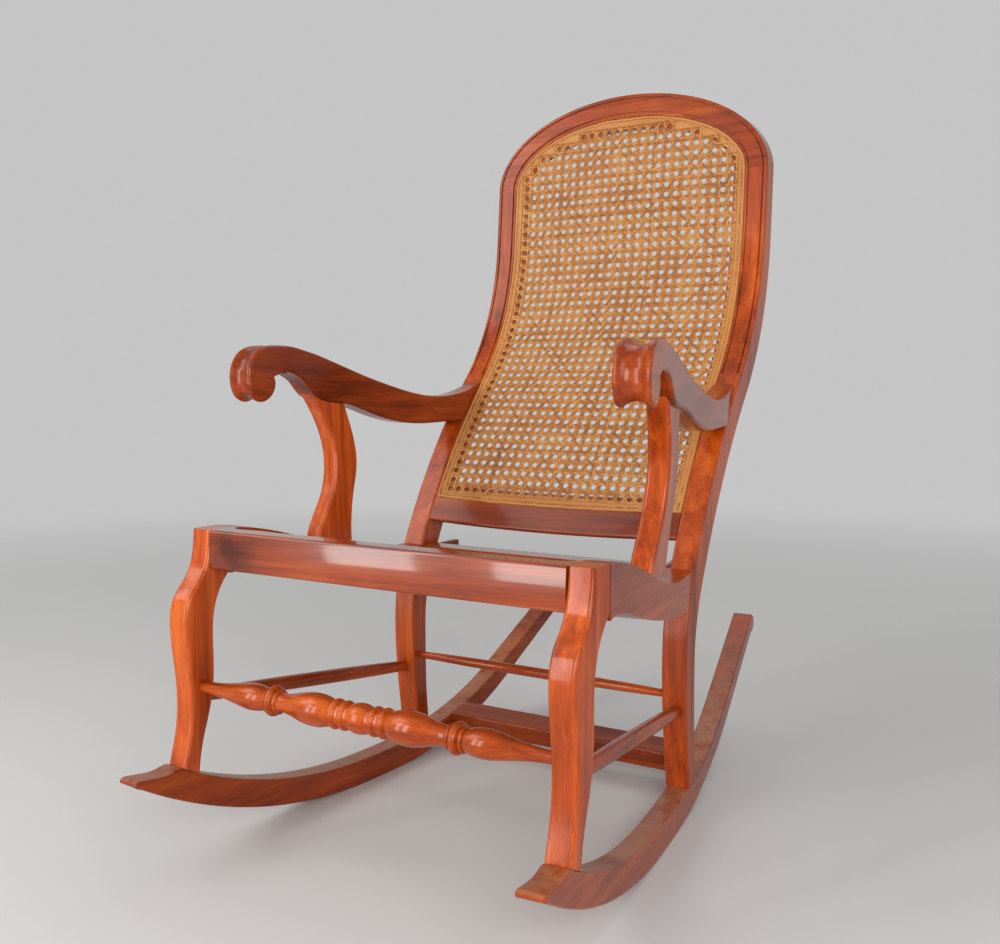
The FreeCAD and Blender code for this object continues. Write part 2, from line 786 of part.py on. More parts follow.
def back_openings():
    """Prisms along Y for the open weave of the back, row by row up the curve."""
    half = net_gap/2
    reach = post_in - net_margin
    rise = inner_rise - net_margin
    s = post_length(low_rail_top) + net_margin*0.6 + half
    holes = []
    while post_point(s)[1] < crest_joint_z + rise:
        y, z, lean = post_point(s)
        high = half*math.cos(lean)
        for x in net_places():
            over = max(0.0, z + high - crest_joint_z)/rise
            if ((abs(x) + half)/reach)**2*(over > 0) + over**2 < 1:
                holes.append(box(x - half, x + half, -100, 600, z - high, z + high))
        s += net_pitch
    return holes


def back_cane_shape():
    a = post_length(low_rail_top - 75)
    b = post_length(crest_joint_z + inner_rise + 60)
    half = post_in - fit
    cuts = []
    xs = [-half + 2*half*k/18 for k in range(19)]
    for s in stations(a, b, 21.0):
        y, z, lean = post_point(s)

        def at(x, d):
            p = post_front(s, d - bulge(x, z))
            return V(x, p.y, p.z)
        front = [at(x, cane_front) for x in xs]
        rear = [at(x, cane_front + cane_thick) for x in xs]
        cuts.append(outline([curve(front), line(front[-1], rear[-1]), curve(rear), line(rear[0], front[0])]))
    sheet = Part.makeLoft(cuts, True, False)
    low = low_rail_top + fit
    sheet = single(sheet.common(arch(post_in - fit, inner_rise - fit, low, sag=low_rail_sag)))
    return single(sheet.cut(back_openings()))


def back_binding_shape():
    a = post_length(low_rail_top - 20)
    layer = strip(cane_front - lay_back - binding_thick, cane_front - lay_back, a, s_top, -400, 400)
    low = low_rail_top + fit
    edge = fit + 0.5
    outer = arch(post_in - edge, inner_rise - edge, low + edge, sag=low_rail_sag)
    inner = arch(post_in - edge - binding_wide, inner_rise - edge - binding_wide, low + edge + binding_wide,
                 -101.0, 701.0, low_rail_sag)
    return single(layer.common(outer.cut(inner)))


# rear posts

def arm_screw(gap, side=1.0):
    """Screw that holds the arm, driven from behind through the post."""
    y, z, lean = post_point(post_length(arm_low_z - 12))
    inward = V(0, math.cos(lean), -math.sin(lean))
    rear = post_rear(post_length(arm_low_z - 12))
    start = V(post_x, rear.y, rear.z)
    return start, inward


def screw_parts(gap):
    start, out = arm_screw(0)
    head_at = start.sub(V(out.x*9, out.y*9, out.z*9))
    wall = post_front(post_length(arm_low_z - 12)).sub(V(0, start.y, start.z)).Length
    tip = start.sub(V(out.x*(wall + screw_bite), out.y*(wall + screw_bite), out.z*(wall + screw_bite)))
    shank = rod(2.6 + gap, head_at, tip)
    head = rod(5.0 + gap, head_at, head_at.sub(V(out.x*3.5, out.y*3.5, out.z*3.5)))
    return shank.fuse(head)


def plug_shape(gap):
    start, out = arm_screw(0)
    inner = start.sub(V(out.x*(8.8 + gap), out.y*(8.8 + gap), out.z*(8.8 + gap)))
    outer = start.add(V(out.x*(0.8 + gap*40), out.y*(0.8 + gap*40), out.z*(0.8 + gap*40)))
    return rod(5.2 + gap, inner, outer)


def side_str_ends():
    sf = V(leg_x, ankle_rear_y - 4, side_str_front_z)
    s = post_length(side_str_rear_z)
    p = post_front(s)
    sr = V(post_x + 2, p.y + 4, side_str_rear_z)
    return sf, sr


def foot_dowel(x, y, gap):
    z = rocker_top(y)
    return rod(peg_r + gap, V(x, y, z - 16 - gap), V(x, y, z + 18 + gap))


def post_shape():
    """Right rear post, from the rocker to the crest joint."""
    post = strip(0, None, post_length(rocker_top(rear_foot_y) - 20), s_joint + 8, post_in, back_half)
    post = rounded(post, frame_ease, on_sides)
    post = post.cut(under_rocker(fit/2))
    post = post.common(box(0, 400, 0, 600, 0, crest_joint_z))
    shelf = strip(rebate, rebate + ledge_thick, s_rail - 20, s_joint + 8, post_in - ledge_wide, post_in + 2)
    shelf = shelf.common(box(0, 400, 0, 600, low_rail_top + fit, crest_joint_z))
    post = post.fuse(shelf)
    groove, sunk = moulding_cuts(s_mould, s_joint + 10)
    a = back_half - bead_wide
    post = post.cut(groove.common(box(a - groove_wide, a, 0, 600, 0, 1200)))
    a = post_in + inner_bead
    post = post.cut(groove.common(box(a, a + groove_wide, 0, 600, 0, 1200)))
    post = post.cut(sunk.common(box(post_in - 1, a, 0, 600, 0, 1200)))
    front, rear = side_rail_tenons(fit)
    post = post.cut(rear).cut(rear_rail_tenon(fit)).cut(low_rail_tenon(fit)).cut(crest_tenon(fit))
    post = post.cut(screw_parts(fit)).cut(plug_shape(fit))
    post = post.cut(rear_str_shape(fit)).cut(side_str_shape(fit))
    post = post.cut(foot_dowel(post_x, rear_foot_y, fit))
    return single(post)


# arms

arm_turn = math.degrees(math.atan2(arm_x - post_x, arm_low_y + 66 - scroll_y))


volute = [(5.5, -3.5), (7, -11), (5, -21), (-4, -32), (-19, -36.5), (-33, -29), (-39.5, -13), (-40, 2),
          (-36.5, 15), (-28, 28), (-15, 36.3), (4, scroll_rise)]
tuck = [(5.5, -3.5), (11, -0.5), (22, 3), (36, 2), (50, -3.5), (60, -10), (68, -19), (78, -28.5)]


def arm_top(f):
    """Top of the arm at a share of the way from the scroll to the arm's low point."""
    shape = [(0.0, 0.0), (0.077, 0.002), (0.124, 0.023), (0.18, 0.079), (0.237, 0.141), (0.296, 0.22),
             (0.379, 0.338), (0.512, 0.531), (0.675, 0.738), (0.828, 0.903), (1.0, 1.0)]
    for (a, va), (b, vb) in zip(shape[:-1], shape[1:]):
        if f <= b:
            drop = va + (vb - va)*(f - a)/(b - a)
            break
    else:
        drop = 1.0
    high = scroll_z + scroll_rise
    return high - (high - arm_low_z)*drop


def arm_under():
    """Underside of the arm, from the notch behind the scroll to the post."""
    span = arm_low_y - scroll_y
    deeps = [(0.275, 1.36), (0.408, 1.2), (0.59, 1.18), (0.754, 1.15), (0.896, 1.05), (1.03, 0.94),
             (1.25, 0.96)]
    low = [(scroll_y + y, scroll_z + z) for y, z in tuck]
    low += [(scroll_y + span*f, arm_top(f) - arm_depth*d) for f, d in deeps]
    return low


def arm_plan():
    """The arm from above: wide at the scroll, as wide as the post at its rear end."""
    half = arm_thick/2
    inner = half - scroll_wide
    rear = arm_low_y + 180
    outside = [(half, -57), (half, 0), (half - arm_waist*0.45, 78), (half - arm_waist*0.95, 148),
               (half - arm_waist, 218), (half - arm_waist*0.6, 298), (half, 378)]
    inside = [(inner, -57), (inner, 0), (inner*0.7 - half*0.3, 78), (inner*0.34 - half*0.66, 168),
              (inner*0.11 - half*0.89, 268), (-half, 378)]
    outside = [V(x, scroll_y + y, 400) for x, y in outside]
    inside = [V(x, scroll_y + y, 400) for x, y in inside]
    a = V(half, rear, 400)
    b = V(-half, rear, 400)
    edges = [curve(outside), line(outside[-1], a), line(a, b), line(b, inside[-1]), curve(inside),
             line(inside[0], outside[0])]
    return Part.Face(outline(edges)).extrude(V(0, 0, 400))


def scroll_hollow(upper):
    """Hollow between the rims: a round bar run along the scroll, which lifts off behind its top."""
    across = (arm_thick - scroll_wide)/2
    path = []
    steps = 60
    for k in range(steps + 1):
        at = upper.FirstParameter + (upper.LastParameter - upper.FirstParameter)*k/steps
        p = upper.valueAt(at)
        way = upper.tangentAt(at)
        ahead = p.y - scroll_y
        if ahead > 110:
            break
        if ahead > 0 and p.z < scroll_z - 5 or ahead > -5 and p.z < scroll_z - 33:
            continue
        away = hollow_r - hollow_deep
        if ahead > 0:
            away += (hollow_deep + 3)*min(1.3, ahead/80)**2
        path.append(V(across, p.y - way.z*away, p.z + way.y*away))
    run = curve(path)
    ring = Part.Circle(path[0], run.tangentAt(run.FirstParameter), hollow_r).toShape()
    return Part.Wire([run]).makePipe(Part.Face(Part.Wire([ring])))


def arm_shape():
    """Right arm: scrolled front end, long S curve, rear end scribed to the post."""
    span = arm_low_y - scroll_y
    fractions = [0.077, 0.124, 0.18, 0.237, 0.296, 0.379, 0.512, 0.675, 0.828, 1.0]
    top = [(scroll_y + y, scroll_z + z) for y, z in volute]
    top += [(scroll_y + span*f, arm_top(f)) for f in fractions]
    top += [(arm_low_y + 45, arm_low_z + arm_sweep*0.06), (arm_low_y + 82, arm_low_z + arm_sweep*0.27),
            (arm_low_y + 108, arm_low_z + arm_sweep*0.5), (arm_low_y + 165, arm_low_z + arm_sweep)]
    upper = curve(yz(top))
    t = yz(top)
    b = yz(arm_under())
    corner = V(0, t[-1].y + 10, b[-1].z)
    body = plate([upper, line(t[-1], corner), line(corner, b[-1]), curve(b)], -scroll_wide, scroll_wide)
    body = single(body.common(arm_plan()))

    def long_arris(e):
        m = e.BoundBox
        return m.XLength < scroll_wide/4 and m.YLength > 200
    body = rounded(body, arm_round, long_arris)
    root = [scroll_y + tuck[0][0] + notch_r/3, scroll_z + tuck[0][1] - notch_r/6]
    body = body.cut(rod(notch_r, V(-scroll_wide, *root), V(scroll_wide, *root)))
    arm = single(body.cut(scroll_hollow(upper)))
    arm.translate(V(post_x, 0, 0))
    arm = turn(arm, post_x, arm_low_y + 66, arm_turn)
    arm = arm.cut(post_envelope(fit, post_length(430), post_length(720), 20.0))
    return arm.cut(box(100, post_in, arm_low_y + 40, arm_low_y + 250, 400, 800))


def support_placed(shape):
    """Carry a shape from the side plane to the right support's place."""
    out = shape.copy()
    out.translate(V(support_foot_half - support_thick/2, 0, 0))
    lean = math.degrees(math.atan2(support_top_half - support_foot_half, arm_low_z - rail_bottom_z))
    out.rotate(V(support_foot_half - support_thick/2, support_y, rail_bottom_z), V(0, 1, 0), lean)
    return turn(out, support_foot_half - support_thick/2, support_y, side_turn)


def support_pegs(gap):
    high = arm_low_z - 1
    rail = seat_z(support_y) + 14
    top = rod(peg_r + gap, V(0, support_y + 8, high - 35), V(0, support_y + 8, high + gap))
    low = rod(peg_r + gap, V(0, support_y, rail - 37 - gap), V(0, support_y, rail))
    return support_placed(top), support_placed(low)


def support_shape():
    """Right arm support: a C curve, wide at both ends."""
    z0 = rail_bottom_z + 5
    z1 = scroll_z - 15
    h = z1 - z0
    y0 = support_y - 31
    c = support_hollow
    d = support_depth
    front = [(y0 - 3, z0), (y0 + c*0.36, z0 + h*0.17), (y0 + c*0.92, z0 + h*0.32),
             (y0 + c*1.18, z0 + h*0.48), (y0 + c*1.12, z0 + h*0.64), (y0 + c*0.75, z0 + h*0.8),
             (y0 + c*0.3, z0 + h*0.92), (y0 - 2, z1)]
    rear = [(y0 + d + 21, z0), (y0 + d + 24, z0 + h*0.17), (y0 + c*0.8 + d + 3, z0 + h*0.32),
            (y0 + c + d + 5, z0 + h*0.48), (y0 + c + d + 3, z0 + h*0.64), (y0 + c*0.8 + d, z0 + h*0.8),
            (y0 + c*0.58 + d, z0 + h*0.92), (y0 + c*0.5 + d, z1)]
    half = support_thick/2
    body = between(yz(front), yz(rear), -half, half)

    def arris(e):
        m = e.BoundBox
        return m.XLength < 0.01 and m.ZLength > 150 and m.YMax < support_y + 20
    body = rounded(body, 5.0, arris)
    body = support_placed(body)
    body = body.cut(arm_below(fit))
    body = body.common(over_seat(fit))
    top, low = support_pegs(0)
    return single(body.fuse([top, low]).removeSplitter())


def over_seat(gap):
    top = [V(0, y, seat_z(y) + gap) for y in seat_run]
    a = V(0, seat_run[-1], 900)
    b = V(0, seat_run[0], 900)
    return plate([curve(top), line(top[-1], a), line(a, b), line(b, top[0])], 0, 400)


def arm_below(gap):
    """Space above the underside of the right arm, for scribing the support."""
    b = [V(0, y, z - gap) for y, z in arm_under()]
    p = V(0, b[-1].y, 800)
    q = V(0, b[0].y, 800)
    block = plate([curve(b), line(b[-1], p), line(p, q), line(q, b[0])], -60, 60)
    block.translate(V(post_x, 0, 0))
    return turn(block, post_x, arm_low_y + 66, arm_turn)


# turned pieces

def bead(x0, x1, r, peak):
    """Rounded ring of a turning, between two X values."""
    return Part.Arc(V(x0, r, 0), V((x0 + x1)/2, peak, 0), V(x1, r, 0)).toShape()


def front_str_shape(gap=0.0):
    """Turned front stretcher, with round tenons in the legs."""
    if gap:
        reach = leg_in + peg_long + gap
        y = ankle_y
        return rod(peg_r + 1 + gap, V(-reach, y, front_str_z), V(reach, y, front_str_z))
    r = front_str_r
    end = leg_in - fit
    k = end/251.0
    a = 14*k
    groove = r*0.76
    vase = [V(44*k, r*0.84, 0), V(52*k, r*0.97, 0), V(68*k, r*1.05, 0), V(84*k, r*0.95, 0),
            V(102*k, r*0.72, 0), V(118*k, r*0.61, 0)]
    tail = [V(143*k, r*0.66, 0), V(152*k, r*0.81, 0), V(166*k, r*0.88, 0), V(186*k, r*0.75, 0),
            V(212*k, r*0.52, 0), V(236*k, r*0.4, 0), V(end, r*0.37, 0)]
    tip = end + peg_long
    edges = [Part.Arc(V(-a, groove, 0), V(0, r*0.96, 0), V(a, groove, 0)).toShape(),
             line(V(a, groove, 0), V(17*k, groove, 0)), bead(17*k, 26*k, groove, r*0.93),
             line(V(26*k, groove, 0), V(30*k, groove, 0)), bead(30*k, 40*k, groove, r*0.95),
             line(V(40*k, groove, 0), vase[0]), curve(vase),
             line(vase[-1], V(120*k, r*0.66, 0)), bead(120*k, 125*k, r*0.66, r*0.8),
             line(V(125*k, r*0.66, 0), V(126*k, r*0.78, 0)), bead(126*k, 136*k, r*0.78, r*0.98),
             line(V(136*k, r*0.78, 0), V(137*k, r*0.66, 0)), bead(137*k, 142*k, r*0.66, r*0.8),
             curve([V(142*k, r*0.66, 0)] + tail[1:]),
             line(tail[-1], V(end, peg_r + 1, 0)), line(V(end, peg_r + 1, 0), V(tip, peg_r + 1, 0)),
             line(V(tip, peg_r + 1, 0), V(tip, 0, 0))]
    right = edges[1:]
    flip = FreeCAD.Matrix()
    flip.A11 = -1
    left = [e.transformGeometry(flip) for e in right]
    axis = line(V(-tip, 0, 0), V(tip, 0, 0))
    face = Part.Face(outline([edges[0]] + right + left + [axis]))
    solid = face.revolve(V(0, 0, 0), V(1, 0, 0), 360)
    solid.translate(V(0, ankle_y, front_str_z))
    return solid


def spindle(start, end, r_start, r_mid, r_end, peg):
    """Plain tapered stretcher between two points, with round tenons."""
    way = end.sub(start)
    long = way.Length
    pts = [V(0, r_start, 0), V(long*0.2, (r_start + r_mid*3)/4, 0), V(long*0.5, r_mid, 0),
           V(long*0.8, (r_end + r_mid*3)/4, 0), V(long, r_end, 0)]
    edges = [line(V(-peg, 0, 0), V(-peg, peg_r - 0.5, 0)),
             line(V(-peg, peg_r - 0.5, 0), V(0, peg_r - 0.5, 0)),
             line(V(0, peg_r - 0.5, 0), pts[0]), curve(pts), line(pts[-1], V(long, peg_r - 0.5, 0)),
             line(V(long, peg_r - 0.5, 0), V(long + peg, peg_r - 0.5, 0)),
             line(V(long + peg, peg_r - 0.5, 0), V(long + peg, 0, 0)),
             line(V(long + peg, 0, 0), V(-peg, 0, 0))]
    solid = Part.Face(outline(edges)).revolve(V(0, 0, 0), V(1, 0, 0), 360)
    turned = FreeCAD.Rotation(V(1, 0, 0), way)
    solid.Placement = FreeCAD.Placement(start, turned)
    return solid


def side_str_shape(gap=0.0):
    start, end = side_str_ends()
    way = end.sub(start)
    way.normalize()
    if gap:
        a = start.sub(V(way.x*9, way.y*9, way.z*9))
        b = end.add(V(way.x*9, way.y*9, way.z*9))
        return rod(side_str_r*0.78 + gap, a, b)
    return spindle(start, end, side_str_r*0.76, side_str_r, side_str_r*0.76, 8.5)


def rear_str_shape(gap=0.0):
    s = post_length(rear_str_z)
    y = post_point(s)[0]
    x = post_in + 2
    if gap:
        reach = x + 9 + gap
        return rod(rear_str_r*0.7 + gap, V(-reach, y, rear_str_z), V(reach, y, rear_str_z))
    end_r = rear_str_r*0.68
    return spindle(V(-x, y, rear_str_z), V(x, y, rear_str_z), end_r, rear_str_r, end_r, 8.5)


# bar between the rockers

def bar_tenon(gap):
    slope = math.degrees(rocker_lean(bar_y))
    z = (rocker_bottom(bar_y) + rocker_top(bar_y))/2 + bar_lift
    tenon = box(0, 400, bar_y - 7 - gap, bar_y + 7 + gap, z - 6 - gap, z + 6 + gap)
    tenon.rotate(V(0, bar_y, z), V(1, 0, 0), slope)
    x = post_x - (bar_y - rear_foot_y)*math.tan(math.radians(rocker_turn)) - rocker_thick/2
    return tenon.common(box(x - 4, x + 9 + gap, 0, 400, 0, 200))


def bar_shape():
    slope = math.degrees(rocker_lean(bar_y))
    z = (rocker_bottom(bar_y) + rocker_top(bar_y))/2 + bar_lift
    bar = box(-300, 300, bar_y - bar_deep/2, bar_y + bar_deep/2, z - bar_high/2, z + bar_high/2)
    bar.rotate(V(0, bar_y, z), V(1, 0, 0), slope)
    bar = rounded(bar, rail_ease, lambda e: e.BoundBox.XLength > 400)
    half = rocker_thick/2 + fit
    wide = box(post_x - half, post_x + 300, -300, 600, -50, 400)
    wide = turn(wide, post_x, rear_foot_y, rocker_turn)
    bar = bar.cut(wide).cut(mirrored(wide))
    tenon = bar_tenon(0)
    return single(bar.fuse([tenon, mirrored(tenon)]).removeSplitter())


# corner blocks under the seat

def block_shapes():
    """Glued blocks in the four inner corners of the seat frame: right front and right rear."""
    z1 = rail_bottom_z + block_high + 4
    z0 = z1 - block_high
    y = seat_front_y + fit
    front = Part.Face(Part.makePolygon([V(leg_in + 6, y, z0), V(leg_in - 2 - block_leg, y, z0),
                                        V(leg_in + 6, y + block_leg + 8, z0), V(leg_in + 6, y, z0)]))
    front = front.extrude(V(0, 0, z1 - z0))
    front = front.cut(side_rail_plank(fit))
    front = front.cut(box(leg_in - fit, 400, 0 - 400, rail_front_y + leg_block_depth + fit, 0, 500))
    y = rear_rail_front_y - fit
    z1 = seat_z(seat_low_y) - seat_sink - cane_thick - 8
    z0 = z1 - block_high
    rear = Part.Face(Part.makePolygon([V(post_in + 30, y, z0), V(post_in - block_leg, y, z0),
                                       V(post_in + 30, y - block_leg - 30, z0), V(post_in + 30, y, z0)]))
    rear = rear.extrude(V(0, 0, z1 - z0))
    rear = rear.cut(side_rail_plank(fit))
    rear = rear.cut(post_envelope(fit, post_length(200), post_length(480)))
    return single(front), single(rear)


# build every piece

def build():
    os.makedirs("parts", exist_ok=True)
    pieces = {}
    rocker = rocker_shape()
    rocker = rocker.cut(foot_dowel(leg_x, front_leg_y, fit)).cut(foot_dowel(post_x, rear_foot_y, fit))
    rocker = single(rocker.cut(bar_tenon(fit)))
    leg = leg_shape()
    front_tenon, rear_tenon = side_rail_tenons(fit)
    leg = leg.cut(front_rail_tenon(fit)).cut(front_tenon).cut(front_str_shape(fit)).cut(side_str_shape(fit))
    leg = single(leg.cut(foot_dowel(leg_x, front_leg_y, fit)))
    post = post_shape()
    rebate_cut = seat_rebate()
    top_peg, low_peg = support_pegs(fit)
    side_rail = single(side_rail_shape().cut(rebate_cut).cut(low_peg))
    arm = arm_shape().cut(top_peg).cut(screw_parts(fit))
    arm = single(arm)
    support = support_shape()
    front_block, rear_block = block_shapes()
    pieces["front_rail"] = single(front_rail_shape().cut(rebate_cut))
    pieces["rear_rail"] = single(rear_rail_shape().cut(rebate_cut))
    pieces["seat_cane"] = seat_cane_shape()
    pieces["seat_binding"] = seat_binding_shape()
    pieces["crest_rail"] = crest_shape()
    pieces["low_back_rail"] = low_rail_shape()
    pieces["back_cane"] = back_cane_shape()
    pieces["back_binding"] = back_binding_shape()
    pieces["front_stretcher"] = front_str_shape()
    pieces["rear_stretcher"] = rear_str_shape()
    pieces["rocker_bar"] = bar_shape()
    sided = {"rocker": rocker, "front_leg": leg, "rear_post": post, "side_rail": side_rail, "arm": arm,
             "arm_support": support, "side_stretcher": side_str_shape(), "front_block": front_block,
             "rear_block": rear_block, "arm_screw": screw_parts(0), "arm_plug": plug_shape(0),
             "front_dowel": foot_dowel(leg_x, front_leg_y, 0),
             "rear_dowel": foot_dowel(post_x, rear_foot_y, 0)}
    for name, shape in sided.items():
        pieces[name + "_right"] = shape
        pieces[name + "_left"] = mirrored(shape)
    for name, shape in pieces.items():
        out = shape.copy()
        out.translate(V(0, -origin_y, 0))
        out.exportStep("parts/" + name + ".step")
        print(name, "volume", round(shape.Volume/1000, 1), "cm3", "valid", shape.isValid(), len(shape.Solids))


build()
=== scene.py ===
"""Rocking chair with a caned back and seat: the finishes, the weave, the stage and the camera."""

import math
import random

import bmesh
import bpy
from bpy.props import FloatProperty, FloatVectorProperty, PointerProperty
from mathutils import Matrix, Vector
from mathutils.bvhtree import BVHTree
from mathutils.kdtree import KDTree


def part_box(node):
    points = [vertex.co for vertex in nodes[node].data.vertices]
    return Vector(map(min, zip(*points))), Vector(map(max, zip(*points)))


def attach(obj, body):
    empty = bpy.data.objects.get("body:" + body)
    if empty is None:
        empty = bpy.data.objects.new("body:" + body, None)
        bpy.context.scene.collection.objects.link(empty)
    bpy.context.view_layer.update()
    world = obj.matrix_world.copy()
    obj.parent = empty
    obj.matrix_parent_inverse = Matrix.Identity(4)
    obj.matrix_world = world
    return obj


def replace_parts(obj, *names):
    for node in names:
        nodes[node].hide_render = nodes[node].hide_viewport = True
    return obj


bl_info = {
    "name": "Caned rocking chair",
    "version": (1, 0, 0),
    "blender": (4, 5, 0),
    "location": "3D View > Sidebar > Chair",
    "description": "Weaves the cane, finishes the wood and sets the studio for a rocking chair",
    "category": "Object",
}

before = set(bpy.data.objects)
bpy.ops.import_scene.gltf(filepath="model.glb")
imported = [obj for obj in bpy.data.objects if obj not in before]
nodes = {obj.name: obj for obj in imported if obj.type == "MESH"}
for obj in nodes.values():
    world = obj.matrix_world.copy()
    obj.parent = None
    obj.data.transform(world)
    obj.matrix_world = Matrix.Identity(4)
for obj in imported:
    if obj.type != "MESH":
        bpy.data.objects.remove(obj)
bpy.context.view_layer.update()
MM = 0.001

# Settings

CAMERA_PLACE = (0.7327, -1.2964, 0.6045)
CAMERA_TURN = (84.91, 0.0, 30.48)    # degrees
CAMERA_LENS = 38.12
SENSOR_WIDTH = 36.0
DOME = 0.6              # level at which the world lights the chair, as a share of the backdrop's
FLOOR_RADIUS = 40.0
FADE = (0.9, 3.6)       # distances between which the floor turns into the backdrop

MIDDLE = (0.0, 0.0, 0.5)
SEAT_FRONT = (0.1, -0.35, 0.9)
LEGS = (0.1, -0.1, 0.35)
WARM = (1.0, 0.985, 0.96)
LAMPS = (
    # name, place, aimed at, width, height, power, colour
    ("Left strip", (-1.44, -2.25, 0.92), SEAT_FRONT, 0.3, 1.8, 17.0, WARM),
    ("Front strip", (-0.90, -2.46, 0.92), SEAT_FRONT, 0.3, 1.8, 17.0, WARM),
    ("Left box", (-1.9, -1.6, 2.2), MIDDLE, 1.3, 1.6, 22.0, WARM),
    ("Right box", (2.4, -1.5, 1.5), MIDDLE, 1.2, 1.8, 18.0, (1.0, 0.98, 0.95)),
    ("Key box", (1.35, -2.1, 0.9), LEGS, 0.9, 1.2, 27.0, WARM),
    ("Top box", (0.2, 0.9, 2.9), MIDDLE, 2.0, 1.6, 13.0, (1.0, 1.0, 1.0)),
)

EDGE_TURNS = 720        # points along the rim of a sheet
REED_SIDES = 10
CELL_STEPS = 4          # faces along each side of a closed cell
BORDER_ROWS = 3
BORDER_INSET = 0.8*MM
BORDER_LIFT = 0.9*MM    # the close weave and the reed lie over the middle of the sheet
REED_LIFT = 1.2*MM
SHEET_DEPTH = 1.2*MM    # from the front of the sheet to its middle
CLOSE_THICK = 0.5*MM
MERGE = 0.02*MM
LOW_EDGE = 10.0*MM      # the rim counts as the low edge up to this length along the curve
END_GAP = 0.3*MM        # between a strand's end and the rim
STRAY = 0.12*MM         # how far a strand may lie out of line
HALVINGS = 7            # steps that find the rim between a place inside and one outside
WAVE_PERIOD = 0.44      # one rise and one dip of a strand, as a share of the pitch
WAVE_SPREAD = 0.2
WAVE_HEIGHT = 1.28
EVEN_TONE = 0.55        # between the darkest strand, 0, and the palest, 1


def colour(name, description, default):
    """Property for a colour without alpha."""
    return FloatVectorProperty(name=name, description=description, default=default, subtype="COLOR",
                               size=3, min=0.0, max=1.0)


def length(name, description, default):
    """Property for a length in metres."""
    return FloatProperty(name=name, description=description, default=default, min=0.0,
                         subtype="DISTANCE", unit="LENGTH", precision=4)


class ChairSizes(bpy.types.PropertyGroup):
    """Sizes of the weave and its edging."""

    pitch_across: length("Pitch across", "Distance from one column of holes to the next", 15.45*MM)
    pitch_up: length("Pitch up", "Distance from one row of holes to the next, along the curve", 15.9*MM)
    first_row: length("First row", "Height of the first row of holes over the low edge", 7.0*MM)
    strand_width: length("Strand width", "Width of the upright strands", 3.45*MM)
    row_width: length("Row width", "Width of the level strands", 3.75*MM)
    strand_gap: length("Strand gap", "Open space between the two strands of a pair", 0.42*MM)
    slant_width: length("Slant width", "Width of the diagonal strands", 3.2*MM)
    strand_thick: length("Strand thickness", "Thickness of a strand", 0.45*MM)
    back_margin: length("Back margin", "Holes of the back nearer to its edge are woven shut", 12.0*MM)
    back_low_margin: length("Back low margin", "The same above the low rail", 8.0*MM)
    seat_margin: length("Seat margin", "Holes of the seat nearer to its edge are woven shut", 12.0*MM)
    edge_band: length("Edge band", "Width of the close band along the edge", 7.5*MM)
    close_strand: length("Close strand", "Width of the strands in the close weave", 2.6*MM)
    reed_radius: length("Reed radius", "Radius of the reed that locks the cane in its groove", 2.1*MM)
    reed_inset: length("Reed inset", "Middle of the reed in from the edge of the cane", 2.6*MM)


class ChairColours(bpy.types.PropertyGroup):
    """Colours of the wood, the cane and the studio."""

    wood_dark: colour("Wood dark", "Darkest grain of the polished wood", (0.095, 0.011, 0.002))
    wood_mid: colour("Wood middle", "Body of the polished wood", (0.330, 0.046, 0.004))
    wood_light: colour("Wood light", "Lightest grain of the polished wood", (0.600, 0.130, 0.014))
    wood_worn: colour("Wood worn", "Wood where feet have worn the polish", (0.360, 0.175, 0.095))
    raw_wood: colour("Raw wood", "Blocks and dowels left without polish", (0.480, 0.300, 0.160))
    cane_dark: colour("Cane dark", "Aged streaks in the cane", (0.270, 0.085, 0.020))
    cane_mid: colour("Cane middle", "Body of the cane", (0.520, 0.205, 0.048))
    cane_light: colour("Cane light", "Lightest strands of the cane", (0.760, 0.400, 0.130))
    steel: colour("Steel", "Screw heads under the plugs", (0.420, 0.400, 0.380))
    floor: colour("Floor", "Studio floor", (0.660, 0.660, 0.660))
    backdrop: colour("Backdrop", "Studio beyond the floor as the camera sees it", (0.560, 0.560, 0.560))


def sizes():
    return bpy.context.scene.chair_sizes


def colours():
    return bpy.context.scene.chair_colours


# Shader building


class Value:
    """Number that varies over a surface: Python operators on it add Math nodes."""

    def __init__(self, tree, socket):
        self.tree = tree
        self.socket = socket

    def math(self, operation, first, second=0.0, clamp=False):
        node = self.tree.nodes.new("ShaderNodeMath")
        node.operation = operation
        node.use_clamp = clamp
        for slot, item in zip(node.inputs, (first, second)):
            if isinstance(item, Value):
                self.tree.links.new(item.socket, slot)
            else:
                slot.default_value = item
        return Value(self.tree, node.outputs[0])

    def __add__(self, other):
        return self.math("ADD", self, other)

    def __radd__(self, other):
        return self.math("ADD", other, self)

    def __sub__(self, other):
        return self.math("SUBTRACT", self, other)

    def __rsub__(self, other):
        return self.math("SUBTRACT", other, self)

    def __mul__(self, other):
        return self.math("MULTIPLY", self, other)

    def __rmul__(self, other):
        return self.math("MULTIPLY", other, self)

    def __pow__(self, other):
        return self.math("POWER", self, other)

    def over(self, low, high):
        """0 at low, 1 at high, straight between and held outside."""
        return self.math("MULTIPLY", self - low, 1.0/(high - low), clamp=True)

    def size(self):
        return self.math("ABSOLUTE", self)

    def sine(self):
        return self.math("SINE", self)


